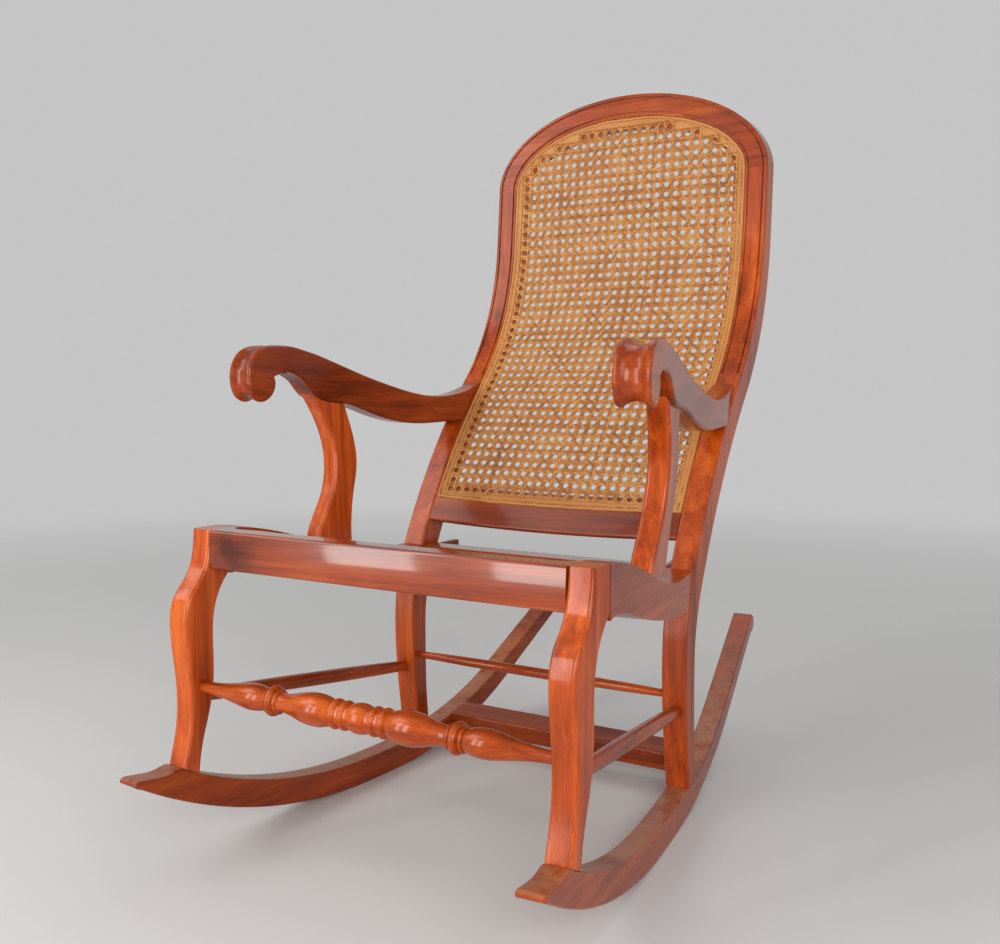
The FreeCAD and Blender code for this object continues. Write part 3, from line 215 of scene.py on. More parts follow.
class Finish:
    """Material with one Principled shader."""

    def __init__(self, name, **constants):
        self.material = bpy.data.materials.new(name)
        self.material.use_nodes = True
        self.tree = self.material.node_tree
        self.tree.nodes.clear()
        self.shader = self.tree.nodes.new("ShaderNodeBsdfPrincipled")
        self.output = self.tree.nodes.new("ShaderNodeOutputMaterial")
        self.tree.links.new(self.shader.outputs[0], self.output.inputs["Surface"])
        for key, value in constants.items():
            self.shader.inputs[key.replace("_", " ")].default_value = value

    def node(self, kind, settings=None, sockets=None):
        """New node: its settings first, a ramp's stops among them, then values or links of its sockets."""
        node = self.tree.nodes.new(kind)
        for key, value in (settings or {}).items():
            if key == "stops":
                stops = node.color_ramp.elements
                while len(stops) < len(value):
                    stops.new(0.5)
                for stop, (place, tint) in zip(stops, value):
                    stop.position = place
                    stop.color = tint
            else:
                setattr(node, key, value)
        for key, value in (sockets or {}).items():
            if isinstance(value, Value):
                self.tree.links.new(value.socket, node.inputs[key])
            else:
                node.inputs[key].default_value = value
        return node

    def out(self, node, which=0):
        return Value(self.tree, node.outputs[which])

    def feed(self, socket, value):
        self.tree.links.new(value.socket, self.shader.inputs[socket])

    def place(self):
        return self.out(self.node("ShaderNodeTexCoord"), "Object")

    def mapped(self, vector, scale, turn=(0, 0, 0), move=(0, 0, 0)):
        return self.out(self.node("ShaderNodeMapping", {"vector_type": "POINT"},
                                  {"Vector": vector, "Scale": scale, "Rotation": turn, "Location": move}))

    def noise(self, vector, scale=1.0, detail=3.0, rough=0.55, bend=0.0):
        return self.out(self.node("ShaderNodeTexNoise", {"noise_dimensions": "3D"},
                                  {"Vector": vector, "Scale": scale, "Detail": detail,
                                   "Roughness": rough, "Distortion": bend}))

    def split(self, vector):
        node = self.node("ShaderNodeSeparateXYZ", None, {0: vector})
        return self.out(node, 0), self.out(node, 1), self.out(node, 2)

    def normal(self):
        return self.out(self.node("ShaderNodeNewGeometry"), "Normal")

    def ramp(self, value, stops):
        tints = [(place, (*tint, 1.0)) for place, tint in stops]
        return self.out(self.node("ShaderNodeValToRGB", {"stops": tints}, {"Fac": value}))

    def mix(self, factor, first, second, blend="MIX"):
        sockets = {"Factor": factor, 6: first, 7: second}
        for key in (6, 7):
            if isinstance(sockets[key], tuple):
                sockets[key] = (*sockets[key], 1.0)
        node = self.node("ShaderNodeMix", {"data_type": "RGBA", "blend_type": blend}, sockets)
        return self.out(node, 2)

    def bump(self, height, distance, strength=1.0):
        return self.out(self.node("ShaderNodeBump", None,
                                  {"Height": height, "Distance": distance, "Strength": strength}))

    def near(self, place, centre, reach):
        """1 at a point, falling to 0 at a distance."""
        away = self.node("ShaderNodeVectorMath", {"operation": "DISTANCE"}, {0: place, 1: centre})
        return 1.0 - self.out(away, "Value").over(reach*0.25, reach)


# Finishes


def wood(name, along, tint=1.0, gloss=0.2, coat=0.16, plain=1.0, worn=0.0, spots=(), seed=0.0):
    """Polished reddish wood. along is the grain's direction: 0, 1 or 2 for X, Y or Z; a plain share
    under 1 draws the figure out sideways, for boards that stand at a slant to that direction."""
    c = colours()
    finish = Finish(name, Coat_Weight=coat, Coat_Roughness=0.06, Coat_IOR=1.45, IOR=1.33)
    place = finish.place()
    drift = finish.mapped(place, (1, 1, 1), (0.02, 0.03, 0.015), (seed, seed*0.7, seed*1.3))

    def grain(fineness, stretch, detail, rough, bend=0.0):
        scale = [fineness*plain, fineness, fineness]
        scale[along] = fineness*stretch
        return finish.noise(finish.mapped(drift, tuple(scale)), detail=detail, rough=rough, bend=bend)

    streak = grain(fineness=70.0, stretch=0.03, detail=4.0, rough=0.55, bend=0.4)
    line = grain(fineness=420.0, stretch=0.02, detail=3.0, rough=0.6)
    pores = grain(fineness=1100.0, stretch=0.02, detail=1.0, rough=0.5).over(0.62, 0.76)
    figure = grain(fineness=20.0, stretch=0.08, detail=2.0, rough=0.5, bend=0.8)
    cloud = finish.noise(drift, scale=6.0, detail=2.0)
    tone = streak*0.42 + line*0.24 + figure*0.3 + cloud*0.3 - 0.13
    deep = tuple(0.5*a + 0.5*b for a, b in zip(c.wood_mid, c.wood_dark))
    base = finish.ramp(tone, [(0.30, c.wood_dark[:]), (0.43, deep), (0.53, c.wood_mid[:]),
                              (0.78, c.wood_light[:])])
    base = finish.mix(pores*0.35, base, tuple(0.6*v for v in c.wood_dark))
    # tint multiplies the whole colour of a part: painted light where it is above 1, painted shade where it is
    # below 1, set to how brightly each part is lit
    base = finish.mix(1.0, base, (tint, tint**1.15, tint**1.2), "MULTIPLY")
    for centre, reach, depth in spots:
        rough_edge = finish.near(place, centre, reach)*finish.noise(drift, scale=28.0).over(0.3, 0.6)
        base = finish.mix(rough_edge*depth, base, tuple(0.35*v for v in c.wood_dark))
    smear = finish.noise(drift, scale=16.0, detail=3.0)
    rough = smear*0.12 + line*0.05 + (gloss - 0.08)
    bump_height = line*0.2 - pores*0.3 + smear*0.5
    if worn:
        x, y, z = finish.split(finish.normal())
        height = finish.split(place)[2]
        scuff = finish.noise(drift, scale=45.0, detail=5.0, rough=0.7)
        rubbed = z.over(0.55, 0.95)*(1.0 - height.over(0.11, 0.2))*scuff.over(0.34, 0.55)*worn
        base = finish.mix(rubbed, base, c.wood_worn[:])
        dents = finish.noise(drift, scale=210.0, detail=2.0).over(0.66, 0.72)*scuff.over(0.5, 0.6)
        base = finish.mix(dents*0.7, base, tuple(0.5*v for v in c.wood_dark))
        rough = rough + rubbed*0.28
        bump_height = bump_height - dents*1.2
    finish.feed("Base Color", base)
    finish.feed("Roughness", rough)
    finish.feed("Normal", finish.bump(bump_height, 0.2*MM, 0.5))
    return finish.material


def raw_wood(name):
    c = colours()
    finish = Finish(name, IOR=1.45)
    grain = finish.noise(finish.mapped(finish.place(), (120, 120, 8)), detail=4.0)
    base = finish.ramp(grain, [(0.3, tuple(0.55*v for v in c.raw_wood)), (0.7, c.raw_wood[:])])
    finish.feed("Base Color", base)
    finish.feed("Roughness", grain*0.2 + 0.55)
    finish.feed("Normal", finish.bump(grain, 0.3*MM, 0.5))
    return finish.material


def steel(name):
    c = colours()
    finish = Finish(name, Metallic=1.0)
    grain = finish.noise(finish.place(), scale=500.0, detail=3.0)
    finish.feed("Base Color", finish.ramp(grain, [(0.3, tuple(0.5*v for v in c.steel)), (0.6, c.steel[:])]))
    finish.feed("Roughness", grain*0.3 + 0.3)
    finish.feed("Normal", finish.bump(grain, 0.05*MM, 0.4))
    return finish.material


def cane(name, kind):
    """Aged cane: single strands, a close plain weave, or a round reed."""
    c = colours()
    finish = Finish(name, IOR=1.38, Coat_Weight=0.06, Coat_Roughness=0.25)
    place = finish.place()
    uv = finish.out(finish.node("ShaderNodeUVMap", {"uv_map": "strand"}))
    along, across, _ = finish.split(uv)
    tone = finish.out(finish.node("ShaderNodeAttribute", {"attribute_name": "tone"}), "Fac")
    age = finish.noise(place, scale=14.0, detail=3.0)
    if kind == "close":
        turns = math.pi/sizes().close_strand
        checks = (along*turns).sine()*(across*turns).sine()
        upper = checks.over(-0.2, 0.2)
        fibre = (finish.noise(finish.mapped(uv, (80, 1300, 1)), detail=3.0)*upper
                 + finish.noise(finish.mapped(uv, (1300, 80, 1)), detail=3.0)*(1.0 - upper))
        crown = checks.size()
        # Painted shade: the close weave darkens in the creases where its over and under strands meet
        gap_shade_and_fibre = 1.0 - crown.over(0.0, 0.4)
    else:
        fibre = finish.noise(finish.mapped(uv, (60, 5, 1)), detail=3.0, rough=0.65)
        crown = 1.0 - (across*2.0 - 1.0)**2.0
        # Painted shade: each strand darkens towards its two edges, where the gaps between strands lie
        gap_shade_and_fibre = (across*2.0 - 1.0).size().over(0.7, 1.0)
    if kind == "reed":
        crown = fibre*0.4
        # On the reed this darkening follows the fibre only, with no shade in it
        gap_shade_and_fibre = fibre*0.3
    fleck = finish.noise(finish.mapped(uv, (330, 2.0, 1)), detail=2.0).over(0.62, 0.72)
    shade = fibre*0.45 + tone*0.4 + age*0.35 - 0.1
    base = finish.ramp(shade, [(0.18, c.cane_dark[:]), (0.46, c.cane_mid[:]), (0.84, c.cane_light[:])])
    base = finish.mix(fleck*0.35, base, c.cane_dark[:])
    # Darken by the mask above: painted shade between strands, fibre tone on the reed
    base = finish.mix(gap_shade_and_fibre*0.55, base, tuple(0.8*v for v in c.cane_dark))
    finish.feed("Base Color", base)
    finish.feed("Roughness", fibre*0.25 + 0.33)
    finish.feed("Normal", finish.bump(crown + fibre*0.25, 0.35*MM, 0.8))
    return finish.material


# Weaving


class Sheet:
    """Woven panel that lies where a CAD cane node lies: a column position and a length along the curve."""

    def __init__(self, node, upright):
        mesh = bmesh.new()
        mesh.from_mesh(nodes[node].data)
        self.tree = BVHTree.FromBMesh(mesh)
        mesh.free()
        self.upright = upright
        low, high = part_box(node)
        self.start = low.z if upright else low.y
        self.stop = high.z if upright else high.y
        self.half = max(abs(low.x), abs(high.x))
        self.table = []
        self.measure()

    def cast(self, x, along):
        """Point and facing of the CAD sheet's front; a second try passes beside an edge between two faces."""
        for aside in (0.0, 0.013*MM, -0.017*MM):
            if self.upright:
                start, way = Vector((x + aside, -1.0, along + aside*0.7)), Vector((0, 1, 0))
            else:
                start, way = Vector((x + aside, along + aside*0.7, 1.0)), Vector((0, 0, -1))
            point, facing = self.tree.ray_cast(start, way)[:2]
            if point is not None and abs(facing.x) < 0.5:
                return point, facing
        return None, None

    def hit(self, x, along):
        """Point and facing of the front, carried across an opening from the ribs to its left and right."""
        point, facing = self.cast(x, along)
        if point is not None:
            return point, facing
        sides = []
        for way in (-1, 1):
            for step in (4, 9, 14, 19, 24, 29):
                beside = self.cast(x + way*step*MM, along)
                if beside[0] is not None:
                    sides.append((step*MM, *beside))
                    break
        if len(sides) < 2:
            return None, None
        (left, low, low_facing), (right, high, high_facing) = sides
        share = left/(left + right)
        return low.lerp(high, share), low_facing.lerp(high_facing, share).normalized()

    def measure(self):
        """Length along the middle line against height, for evenly spaced rows."""
        steps = 420
        total = 0.0
        last = None
        for k in range(steps + 1):
            along = self.start + (self.stop - self.start)*k/steps
            spot = self.hit(0.0, along)[0]
            if spot is None:
                continue
            if last is not None:
                total += (spot - last).length
            self.table.append((total, along))
            last = spot
        self.total = total

    def height(self, s):
        """Height, or distance back, that stands at a length along the middle line."""
        table = self.table
        step = self.total/(len(table) - 1)
        k = max(0, min(len(table) - 2, int(s/step)))
        while k > 0 and table[k][0] > s:
            k -= 1
        while k < len(table) - 2 and table[k + 1][0] < s:
            k += 1
        (sa, za), (sb, zb) = table[k], table[k + 1]
        return za + (zb - za)*(s - sa)/(sb - sa)

    def inside(self, x, s):
        return self.hit(x, self.height(s))[0] is not None

    def spot(self, x, s, lift=0.0):
        """Point in the middle of the sheet's thickness, and the way it faces."""
        for _ in range(12):
            point, facing = self.hit(x, self.height(s))
            if point is not None:
                return point + facing*(lift - SHEET_DEPTH), facing
            x *= 0.998
            s += (self.total/2 - s)*0.002
        raise ValueError("no cane at this spot")

    def drawn_in(self, x, s, centre):
        """The place itself, or where the sheet ends on the way to it from a place inside."""
        if 0 <= s <= self.total and self.inside(x, s):
            return x, s
        low, high = 0.0, 1.0
        for _ in range(HALVINGS):
            share = (low + high)/2
            tried = centre[1] + (s - centre[1])*share
            if 0 <= tried <= self.total and self.inside(centre[0] + (x - centre[0])*share, tried):
                low = share
            else:
                high = share
        return centre[0] + (x - centre[0])*low, centre[1] + (s - centre[1])*low

    def run(self, x, s, dx, ds, reach):
        """Lengths at which a straight line through a point enters and leaves the sheet."""
        fine = 4.0*MM
        count = int(2*reach/fine)
        marks = [-reach + k*fine for k in range(count + 1)]
        held = [t for t in marks if self.inside(x + dx*t, s + ds*t)]
        if len(held) < 3:
            return None
        ends = []
        for inner, outer in ((held[0], held[0] - fine), (held[-1], held[-1] + fine)):
            for _ in range(HALVINGS):
                middle = (inner + outer)/2
                if self.inside(x + dx*middle, s + ds*middle):
                    inner = middle
                else:
                    outer = middle
            ends.append(inner)
        return ends[0] + END_GAP, ends[1] - END_GAP


def ribbon(mesh, steps, place, long, seed):
    """Flat strand from a grid, shaped point by point; its UV runs along it in metres."""
    uv = mesh.loops.layers.uv.get("strand") or mesh.loops.layers.uv.new("strand")
    tone = mesh.verts.layers.float.get("tone") or mesh.verts.layers.float.new("tone")
    made = bmesh.ops.create_grid(mesh, x_segments=steps, y_segments=1, size=0.5)["verts"]
    for vert in made:
        for loop in vert.link_loops:
            loop[uv].uv = ((vert.co.x + 0.5)*long + seed*3.0, vert.co.y + 0.5)
    for vert in made:
        vert[tone] = seed
        vert.co = place(vert.co.x + 0.5, vert.co.y + 0.5)


def strand(mesh, sheet, start, way, width, rise, step, seed):
    """One strand: a straight run on the sheet, which rises and dips as it crosses the others."""
    ends = sheet.run(start[0], start[1], way[0], way[1], 1.0)
    if ends is None:
        return
    first, last = ends
    steps = max(2, round((last - first)/step))
    side = (-way[1], way[0])

    def place(u, v):
        t = first + (last - first)*u
        x = start[0] + way[0]*t
        s = start[1] + way[1]*t
        over = width*(v - 0.5)
        inner, facing = sheet.spot(x, s, rise(x, s))
        along = facing.cross(Vector((1, 0, 0))).normalized()
        if (along.z if sheet.upright else along.y) < 0:
            along = -along
        across = Vector((1, 0, 0))
        return inner + across*(side[0]*over) + along*(side[1]*over)
    ribbon(mesh, steps, place, last - first, seed)


def piece(name, mesh, material):
    """Object at the origin from a finished mesh of cane, which rides on the chair."""
    data = bpy.data.meshes.new(name)
    for face in mesh.faces:
        face.smooth = True
    mesh.to_mesh(data)
    mesh.free()
    made = bpy.data.objects.new(name, data)
    bpy.context.scene.collection.objects.link(made)
    data.materials.append(material)
    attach(made, "root")
    return made


def thicken(made, thick):
    """Give a sheet its thickness, half to each side."""
    wall = made.modifiers.new("Thickness", "SOLIDIFY")
    wall.thickness = thick
    wall.offset = 0.0


def wave(part, pitch):
    """Rise of one strand of a pair over and under the pair it crosses, by its place from that pair."""
    u = part/pitch
    return math.sin(2*math.pi*u/WAVE_PERIOD)*math.exp(-(u/WAVE_SPREAD)**2)*WAVE_HEIGHT


def weave(label, sheet, columns_at, rows_at, pitch_up, material, replaced):
    """The four layers of strands of one panel."""
    size = sizes()
    pitch = size.pitch_across
    rise = size.strand_thick*0.85
    high = size.strand_thick*1.25
    apart = (size.strand_width + size.strand_gap)/2
    chance = random.Random(label)
    made = []

    def from_line(value, start, step):
        return (value - start + step/2) % step - step/2

    mesh = bmesh.new()
    count = int(sheet.half/pitch) + 1
    for k in range(-count, count + 1):
        x = columns_at + k*pitch
        for turn in (-1, 1):
            def lift(a, s, turn=turn):
                return turn*rise*wave(from_line(s, rows_at, pitch_up), pitch_up)
            place = x + turn*apart + chance.uniform(-STRAY/MM, STRAY/MM)*MM
            strand(mesh, sheet, (place, sheet.total/2), (0, 1), size.strand_width, lift, pitch_up/8,
                   chance.random())
    made.append(piece(label + "_uprights", mesh, material))
    mesh = bmesh.new()
    rows = int(sheet.total/pitch_up) + 1
    apart = (size.row_width + size.strand_gap)/2
    for k in range(-1, rows + 1):
        s = rows_at + k*pitch_up
        for turn in (-1, 1):
            def lift(a, t, turn=turn):
                return -turn*rise*wave(from_line(a, columns_at, pitch), pitch)
            place = s + turn*apart + chance.uniform(-STRAY/MM, STRAY/MM)*MM
            if not 0.5*MM < place < sheet.total - 0.5*MM:
                continue
            strand(mesh, sheet, (0.0, place), (1, 0), size.row_width, lift, pitch/8, chance.random())
    made.append(piece(label + "_crossings", mesh, material))
    long = math.hypot(pitch, pitch_up)
    reach = int((2*sheet.half + sheet.total)/pitch_up) + 2
    for turn, name in ((1, "_slants_up"), (-1, "_slants_down")):
        mesh = bmesh.new()
        for k in range(-reach, reach + 1):
            def lift(a, s, turn=turn):
                return turn*high*math.cos(2*math.pi*(a - columns_at)/pitch)
            s = rows_at + (k + 0.5)*pitch_up
            way = (pitch/long, turn*pitch_up/long)
            middle = sheet.total/2
            x = columns_at + turn*(middle - s)*pitch/pitch_up
            if abs(x) > sheet.half + sheet.total:
                continue
            strand(mesh, sheet, (x, middle), way, size.slant_width, lift, long/6, chance.random())
        made.append(piece(label + name, mesh, material))
    for item in made:
        thicken(item, size.strand_thick)
    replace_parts(made[0], replaced)


class Edge:
    """Outline of a sheet, and lines inside it at a distance."""

    def __init__(self, sheet):
        self.sheet = sheet
        self.middle = (0.0, sheet.total*0.5)
        rim = [self.reach(k, sheet.inside) for k in range(EDGE_TURNS)]
        dense = []
        for a, b in zip(rim, rim[1:] + rim[:1]):
            for part in range(4):
                dense.append((a[0] + (b[0] - a[0])*part/4, a[1] + (b[1] - a[1])*part/4))
        self.near = KDTree(len(dense))
        for k, (x, s) in enumerate(dense):
            self.near.insert(Vector((x, s, 0)), k)
        self.near.balance()

    def reach(self, k, test):
        """Farthest point from the middle in one direction that passes a test."""
        turn = 2*math.pi*k/EDGE_TURNS
        way = (math.cos(turn), math.sin(turn))
        low, high = 0.0, math.hypot(self.sheet.half, self.sheet.total/2)*1.05
        for _ in range(18):
            tried = (low + high)/2
            s = self.middle[1] + way[1]*tried
            if 0 <= s <= self.sheet.total and test(way[0]*tried, s):
                low = tried
            else:
                high = tried
        return way[0]*low, self.middle[1] + way[1]*low

    def line(self, inset):
        """Closed line at an inset from the rim."""
        def test(x, s):
            away = self.near.find(Vector((x, s, 0)))[2]
            return away >= inset and self.sheet.inside(x, s)
        return [self.reach(k, test) for k in range(EDGE_TURNS)]


def gridded(mesh, across, up, place, uv_at):
    """Grid shaped point by point, added to the mesh."""
    uv = mesh.loops.layers.uv.get("strand") or mesh.loops.layers.uv.new("strand")
    tone = mesh.verts.layers.float.get("tone") or mesh.verts.layers.float.new("tone")
    made = bmesh.ops.create_grid(mesh, x_segments=across, y_segments=up, size=0.5)["verts"]
    for vert in made:
        u, v = round((vert.co.x + 0.5)*across), vert.co.y + 0.5
        for loop in vert.link_loops:
            loop[uv].uv = uv_at(u, v)
    for vert in made:
        vert[tone] = EVEN_TONE
        vert.co = place(round((vert.co.x + 0.5)*across), vert.co.y + 0.5)


def closed(mesh):
    """Merge the two ends of a band or tube that runs once round."""
    bmesh.ops.remove_doubles(mesh, verts=mesh.verts, dist=MERGE)
    bmesh.ops.recalc_face_normals(mesh, faces=mesh.faces)


def border(label, sheet, edge, lattice, margins, material):
    """Close-woven band along the rim, and the cells of the weave that are shut next to it."""
    columns_at, rows_at, pitch, pitch_up = lattice
    size = sizes()
    rim = edge.line(BORDER_INSET)
    inner = edge.line(size.edge_band)
    mesh = bmesh.new()

    def spot(k, v):
        a = rim[k % EDGE_TURNS]
        b = inner[k % EDGE_TURNS]
        return a[0] + (b[0] - a[0])*v, a[1] + (b[1] - a[1])*v

    def on_sheet(x, s):
        return sheet.spot(x, s, BORDER_LIFT)[0]

    gridded(mesh, EDGE_TURNS, BORDER_ROWS, lambda k, v: on_sheet(*spot(k, v)), spot)
    closed(mesh)
    band = piece(label + "_border", mesh, material)
    mesh = bmesh.new()
    columns = int(sheet.half/pitch) + 1
    rows = int(sheet.total/pitch_up) + 1
    for k in range(-columns, columns + 1):
        for j in range(-1, rows + 1):
            x = columns_at + (k + 0.5)*pitch
            s = rows_at + (j + 0.5)*pitch_up
            if not 0 < s < sheet.total or not sheet.inside(x, s):
                continue
            rim_spot, _, away = edge.near.find(Vector((x, s, 0)))
            if away > (margins[1] if rim_spot.y < LOW_EDGE else margins[0]):
                continue

            def cell(u, v, x=x, s=s):
                return sheet.drawn_in(x + (u/CELL_STEPS - 0.5)*pitch, s + (v - 0.5)*pitch_up, (x, s))

            gridded(mesh, CELL_STEPS, CELL_STEPS, lambda u, v, cell=cell: on_sheet(*cell(u, v)), cell)
    bmesh.ops.remove_doubles(mesh, verts=mesh.verts, dist=MERGE)
    cells = piece(label + "_closed_cells", mesh, material)
    for item in (band, cells):
        thicken(item, CLOSE_THICK)


def reed(label, sheet, edge, material, replaced):
    """Round reed pressed in along the rim of the cane."""
    size = sizes()
    path = edge.line(size.reed_inset)
    centres = [sheet.spot(x, s, REED_LIFT) for x, s in path]
    mesh = bmesh.new()

    def place(k, v):
        centre, facing = centres[k % EDGE_TURNS]
        ahead = centres[(k + 1) % EDGE_TURNS][0] - centres[(k - 1) % EDGE_TURNS][0]
        side = facing.cross(ahead).normalized()
        turn = 2*math.pi*v
        return centre + (facing*math.cos(turn) + side*math.sin(turn))*size.reed_radius

    around = (centres[0][0] - centres[1][0]).length
    gridded(mesh, EDGE_TURNS, REED_SIDES, place, lambda k, v: (k*around, v))
    closed(mesh)
    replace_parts(piece(label, mesh, material), replaced)


def made_once(key, build):
    """Material or sheet that several operators share."""
    if key not in shared:
        shared[key] = build()
    return shared[key]


shared = {}


def back_sheet():
    return made_once("back", lambda: Sheet("back_cane", True))


def seat_sheet():
    return made_once("seat", lambda: Sheet("seat_cane", False))


# Operators


class CHAIR_OT_back_weave(bpy.types.Operator):
    """Weave the cane of the back"""

    bl_idname = "chair.back_weave"
    bl_label = "Back weave"

    def execute(self, context):
        size = sizes()
        sheet = back_sheet()
        material = made_once("strands", lambda: cane("Cane strands", "strand"))
        close = made_once("close", lambda: cane("Close cane", "close"))
        columns, rows = size.pitch_across/2, size.first_row - size.pitch_up/2
        weave("back_weave", sheet, columns, rows, size.pitch_up, material, "back_cane")
        edge = made_once("back edge", lambda: Edge(sheet))
        border("back", sheet, edge, (columns, rows, size.pitch_across, size.pitch_up),
               (size.back_margin, size.back_low_margin), close)
        return {"FINISHED"}


class CHAIR_OT_seat_weave(bpy.types.Operator):
    """Weave the cane of the seat"""

    bl_idname = "chair.seat_weave"
    bl_label = "Seat weave"

    def execute(self, context):
        size = sizes()
        sheet = seat_sheet()
        material = made_once("strands", lambda: cane("Cane strands", "strand"))
        close = made_once("close", lambda: cane("Close cane", "close"))
        pitch = size.pitch_across
        columns, rows = pitch/2, pitch*0.9
        weave("seat_weave", sheet, columns, rows, pitch, material, "seat_cane")
        edge = made_once("seat edge", lambda: Edge(sheet))
        margins = (size.seat_margin, size.seat_margin)
        border("seat", sheet, edge, (columns, rows, pitch, pitch), margins, close)
        return {"FINISHED"}


class CHAIR_OT_reeds(bpy.types.Operator):
    """Lay the reeds that lock the cane along its edges"""

    bl_idname = "chair.reeds"
    bl_label = "Edge reeds"

    def execute(self, context):
        material = made_once("reed", lambda: cane("Cane reed", "reed"))
        for label, sheet, node in (("back", back_sheet(), "back_binding"),
                                   ("seat", seat_sheet(), "seat_binding")):
            edge = made_once(label + " edge", lambda sheet=sheet: Edge(sheet))
            reed(label + "_reed", sheet, edge, material, node)
        return {"FINISHED"}


class CHAIR_OT_wood(bpy.types.Operator):
    """Polish the rails, legs, posts, arms, stretchers and rockers"""

    bl_idname = "chair.wood"
    bl_label = "Polished wood"

    def execute(self, context):
        # The tints are painted light and painted shade: legs, arm supports, posts and turned stretchers are
        # lightened as lit parts, the other parts darkened as shaded ones, most of all the low rail, the bar
        # and the plugs
        rail = wood("Wood rails", 0, tint=0.88, coat=0.7, seed=1.3,
                    spots=[((-0.215, -0.345, 0.385), 0.05, 0.8)])
        back = wood("Wood back", 0, tint=0.92, seed=2.1)
        low = wood("Wood low rail", 0, tint=0.72, gloss=0.3, seed=2.6)
        turned = wood("Wood turned", 0, tint=1.15, gloss=0.16, seed=3.7)
        bar = wood("Wood bar", 0, tint=0.72, gloss=0.28, seed=4.4)
        runner = wood("Wood rockers", 1, tint=0.92, gloss=0.27, plain=0.3, worn=0.75, seed=5.2,
                      spots=[((0.222, 0.098, 0.055), 0.05, 0.7)])
        side = wood("Wood side rails", 1, tint=0.98, gloss=0.27, plain=0.1, seed=6.9)
        arm = wood("Wood arms", 1, tint=0.85, gloss=0.17, seed=7.3)
        leg = wood("Wood legs", 2, tint=1.32, gloss=0.2, seed=8.8)
        post = wood("Wood posts", 2, tint=1.18, gloss=0.24, seed=9.6)
        chosen = {"front_rail": rail, "rear_rail": rail, "crest_rail": back, "low_back_rail": low,
                  "front_stretcher": turned, "rear_stretcher": turned, "rocker_bar": bar, "rocker": runner,
                  "side_rail": side, "side_stretcher": side, "arm": arm, "front_leg": leg,
                  "rear_post": post, "arm_support": leg, "arm_plug": bar}
        for name, made in nodes.items():
            kind = name.replace("_right", "").replace("_left", "")
            if kind in chosen:
                made.material_slots[0].material = chosen[kind]
        return {"FINISHED"}


class CHAIR_OT_hidden(bpy.types.Operator):
    """Finish the corner blocks, the dowels and the screws"""

    bl_idname = "chair.hidden"
    bl_label = "Blocks and screws"

    def execute(self, context):
        plain = raw_wood("Raw wood")
        metal = steel("Screw steel")
        for name, made in nodes.items():
            if "block" in name or "dowel" in name:
                made.material_slots[0].material = plain
            if "screw" in name:
                made.material_slots[0].material = metal
        return {"FINISHED"}


class CHAIR_OT_stage(bpy.types.Operator):
    """Set the floor, the lights and the camera"""

    bl_idname = "chair.stage"
    bl_label = "Studio"

    def execute(self, context):
        floor()
        lights()
        camera()
        return {"FINISHED"}


def seen_directly(tree):
    """1 for rays from the camera and for rays that a gloss or a glass sends on."""
    path = tree.nodes.new("ShaderNodeLightPath")
    seen, gloss, through = (Value(tree, path.outputs[key])
                            for key in ("Is Camera Ray", "Is Glossy Ray", "Is Transmission Ray"))
    return (seen + gloss + through).over(0.0, 1.0)


def floor():
    mesh = bmesh.new()
    bmesh.ops.create_circle(mesh, cap_ends=True, segments=96, radius=FLOOR_RADIUS)
    data = bpy.data.meshes.new("floor")
    mesh.to_mesh(data)
    mesh.free()
    ground = bpy.data.objects.new("floor", data)
    bpy.context.scene.collection.objects.link(ground)
    finish = Finish("Studio floor", Roughness=0.85)
    place = finish.place()
    away = finish.out(finish.node("ShaderNodeVectorMath", {"operation": "LENGTH"}, {0: place}), "Value")
    speckle = finish.noise(place, scale=3.0, detail=3.0)
    tint = colours().floor
    base = finish.ramp(speckle, [(0.3, tuple(0.985*v for v in tint)), (0.7, tint[:])])
    finish.feed("Base Color", base)
    glow = finish.node("ShaderNodeEmission", None, {"Color": (*colours().backdrop, 1.0), "Strength": 1.0})
    fade = away.over(*FADE)*seen_directly(finish.tree)
    blend = finish.node("ShaderNodeMixShader", None, {0: fade})
    finish.tree.links.new(finish.shader.outputs[0], blend.inputs[1])
    finish.tree.links.new(glow.outputs[0], blend.inputs[2])
    finish.tree.links.new(blend.outputs[0], finish.output.inputs["Surface"])
    data.materials.append(finish.material)


def lamp(name, place, aim, width, height, power, tint):
    data = bpy.data.lights.new(name, "AREA")
    data.shape = "RECTANGLE"
    data.size = width
    data.size_y = height
    data.energy = power
    data.color = tint
    made = bpy.data.objects.new(name, data)
    bpy.context.scene.collection.objects.link(made)
    made.location = place
    made.rotation_euler = (Vector(aim) - Vector(place)).to_track_quat("-Z", "Y").to_euler()


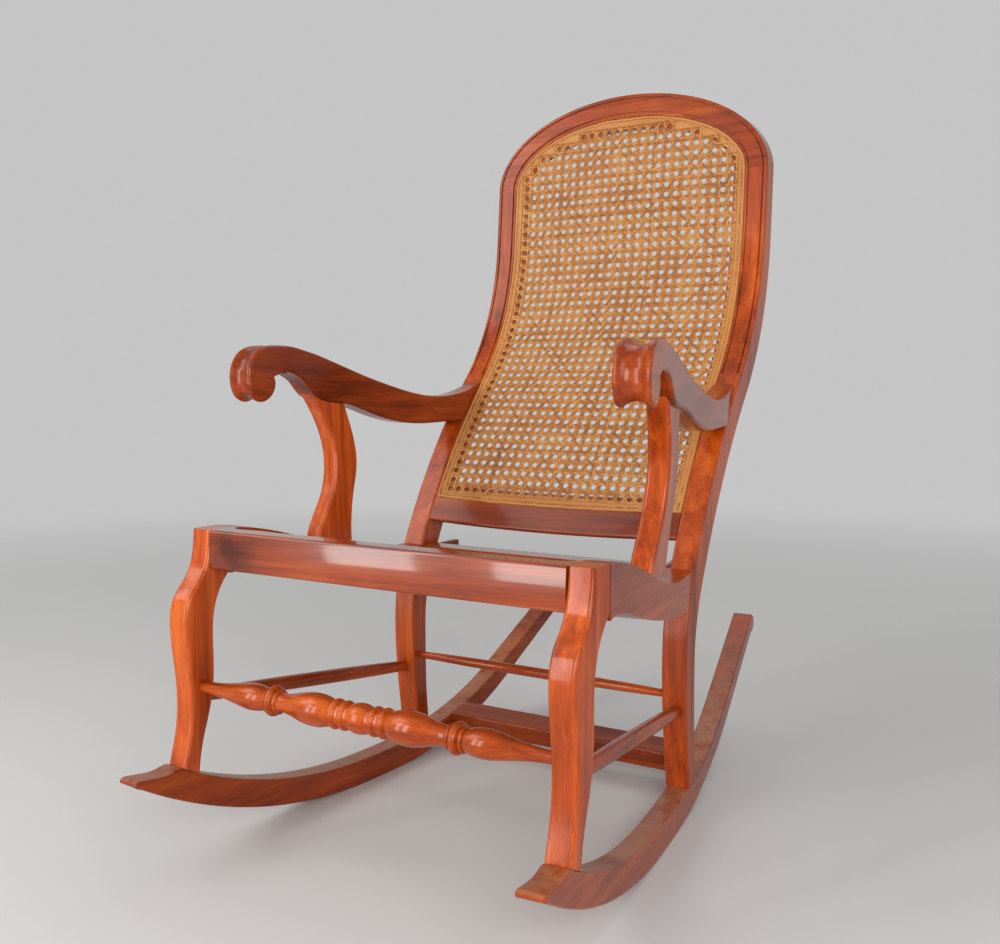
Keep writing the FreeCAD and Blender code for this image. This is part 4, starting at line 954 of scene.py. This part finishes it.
def lights():
    for settings in LAMPS:
        lamp(*settings)
    world = bpy.data.worlds.new("Studio")
    bpy.context.scene.world = world
    world.use_nodes = True
    tree = world.node_tree
    tree.nodes.clear()
    dome = tree.nodes.new("ShaderNodeBackground")
    dome.inputs["Color"].default_value = (*colours().backdrop, 1.0)
    strength = DOME + seen_directly(tree)*(1.0 - DOME)
    tree.links.new(strength.socket, dome.inputs["Strength"])
    out = tree.nodes.new("ShaderNodeOutputWorld")
    tree.links.new(dome.outputs[0], out.inputs["Surface"])


def camera():
    scene = bpy.context.scene
    data = bpy.data.cameras.new("Camera")
    data.sensor_fit = "HORIZONTAL"
    data.sensor_width = SENSOR_WIDTH
    data.lens = CAMERA_LENS
    made = bpy.data.objects.new("Camera", data)
    scene.collection.objects.link(made)
    made.location = CAMERA_PLACE
    made.rotation_euler = [math.radians(angle) for angle in CAMERA_TURN]
    scene.camera = made
    scene.view_settings.view_transform = "Standard"


class CHAIR_PT_panel(bpy.types.Panel):
    bl_label = "Chair"
    bl_idname = "CHAIR_PT_panel"
    bl_space_type = "VIEW_3D"
    bl_region_type = "UI"
    bl_category = "Chair"

    def draw(self, context):
        column = self.layout.column(align=True)
        for step in STEPS:
            column.operator(step.bl_idname)
        for group in (context.scene.chair_sizes, context.scene.chair_colours):
            box = self.layout.box()
            for key in group.bl_rna.properties.keys():
                if key not in ("rna_type", "name"):
                    box.prop(group, key)


STEPS = (CHAIR_OT_back_weave, CHAIR_OT_seat_weave, CHAIR_OT_reeds, CHAIR_OT_wood, CHAIR_OT_hidden,
         CHAIR_OT_stage)
CLASSES = (ChairSizes, ChairColours, *STEPS, CHAIR_PT_panel)


def register():
    for each in CLASSES:
        bpy.utils.register_class(each)
    bpy.types.Scene.chair_sizes = PointerProperty(type=ChairSizes)
    bpy.types.Scene.chair_colours = PointerProperty(type=ChairColours)


def unregister():
    del bpy.types.Scene.chair_colours
    del bpy.types.Scene.chair_sizes
    for each in reversed(CLASSES):
        bpy.utils.unregister_class(each)


def main():
    register()
    bpy.ops.chair.back_weave()
    bpy.ops.chair.seat_weave()
    bpy.ops.chair.reeds()
    bpy.ops.chair.wood()
    bpy.ops.chair.hidden()
    bpy.ops.chair.stage()


if __name__ == "__main__":
    main()
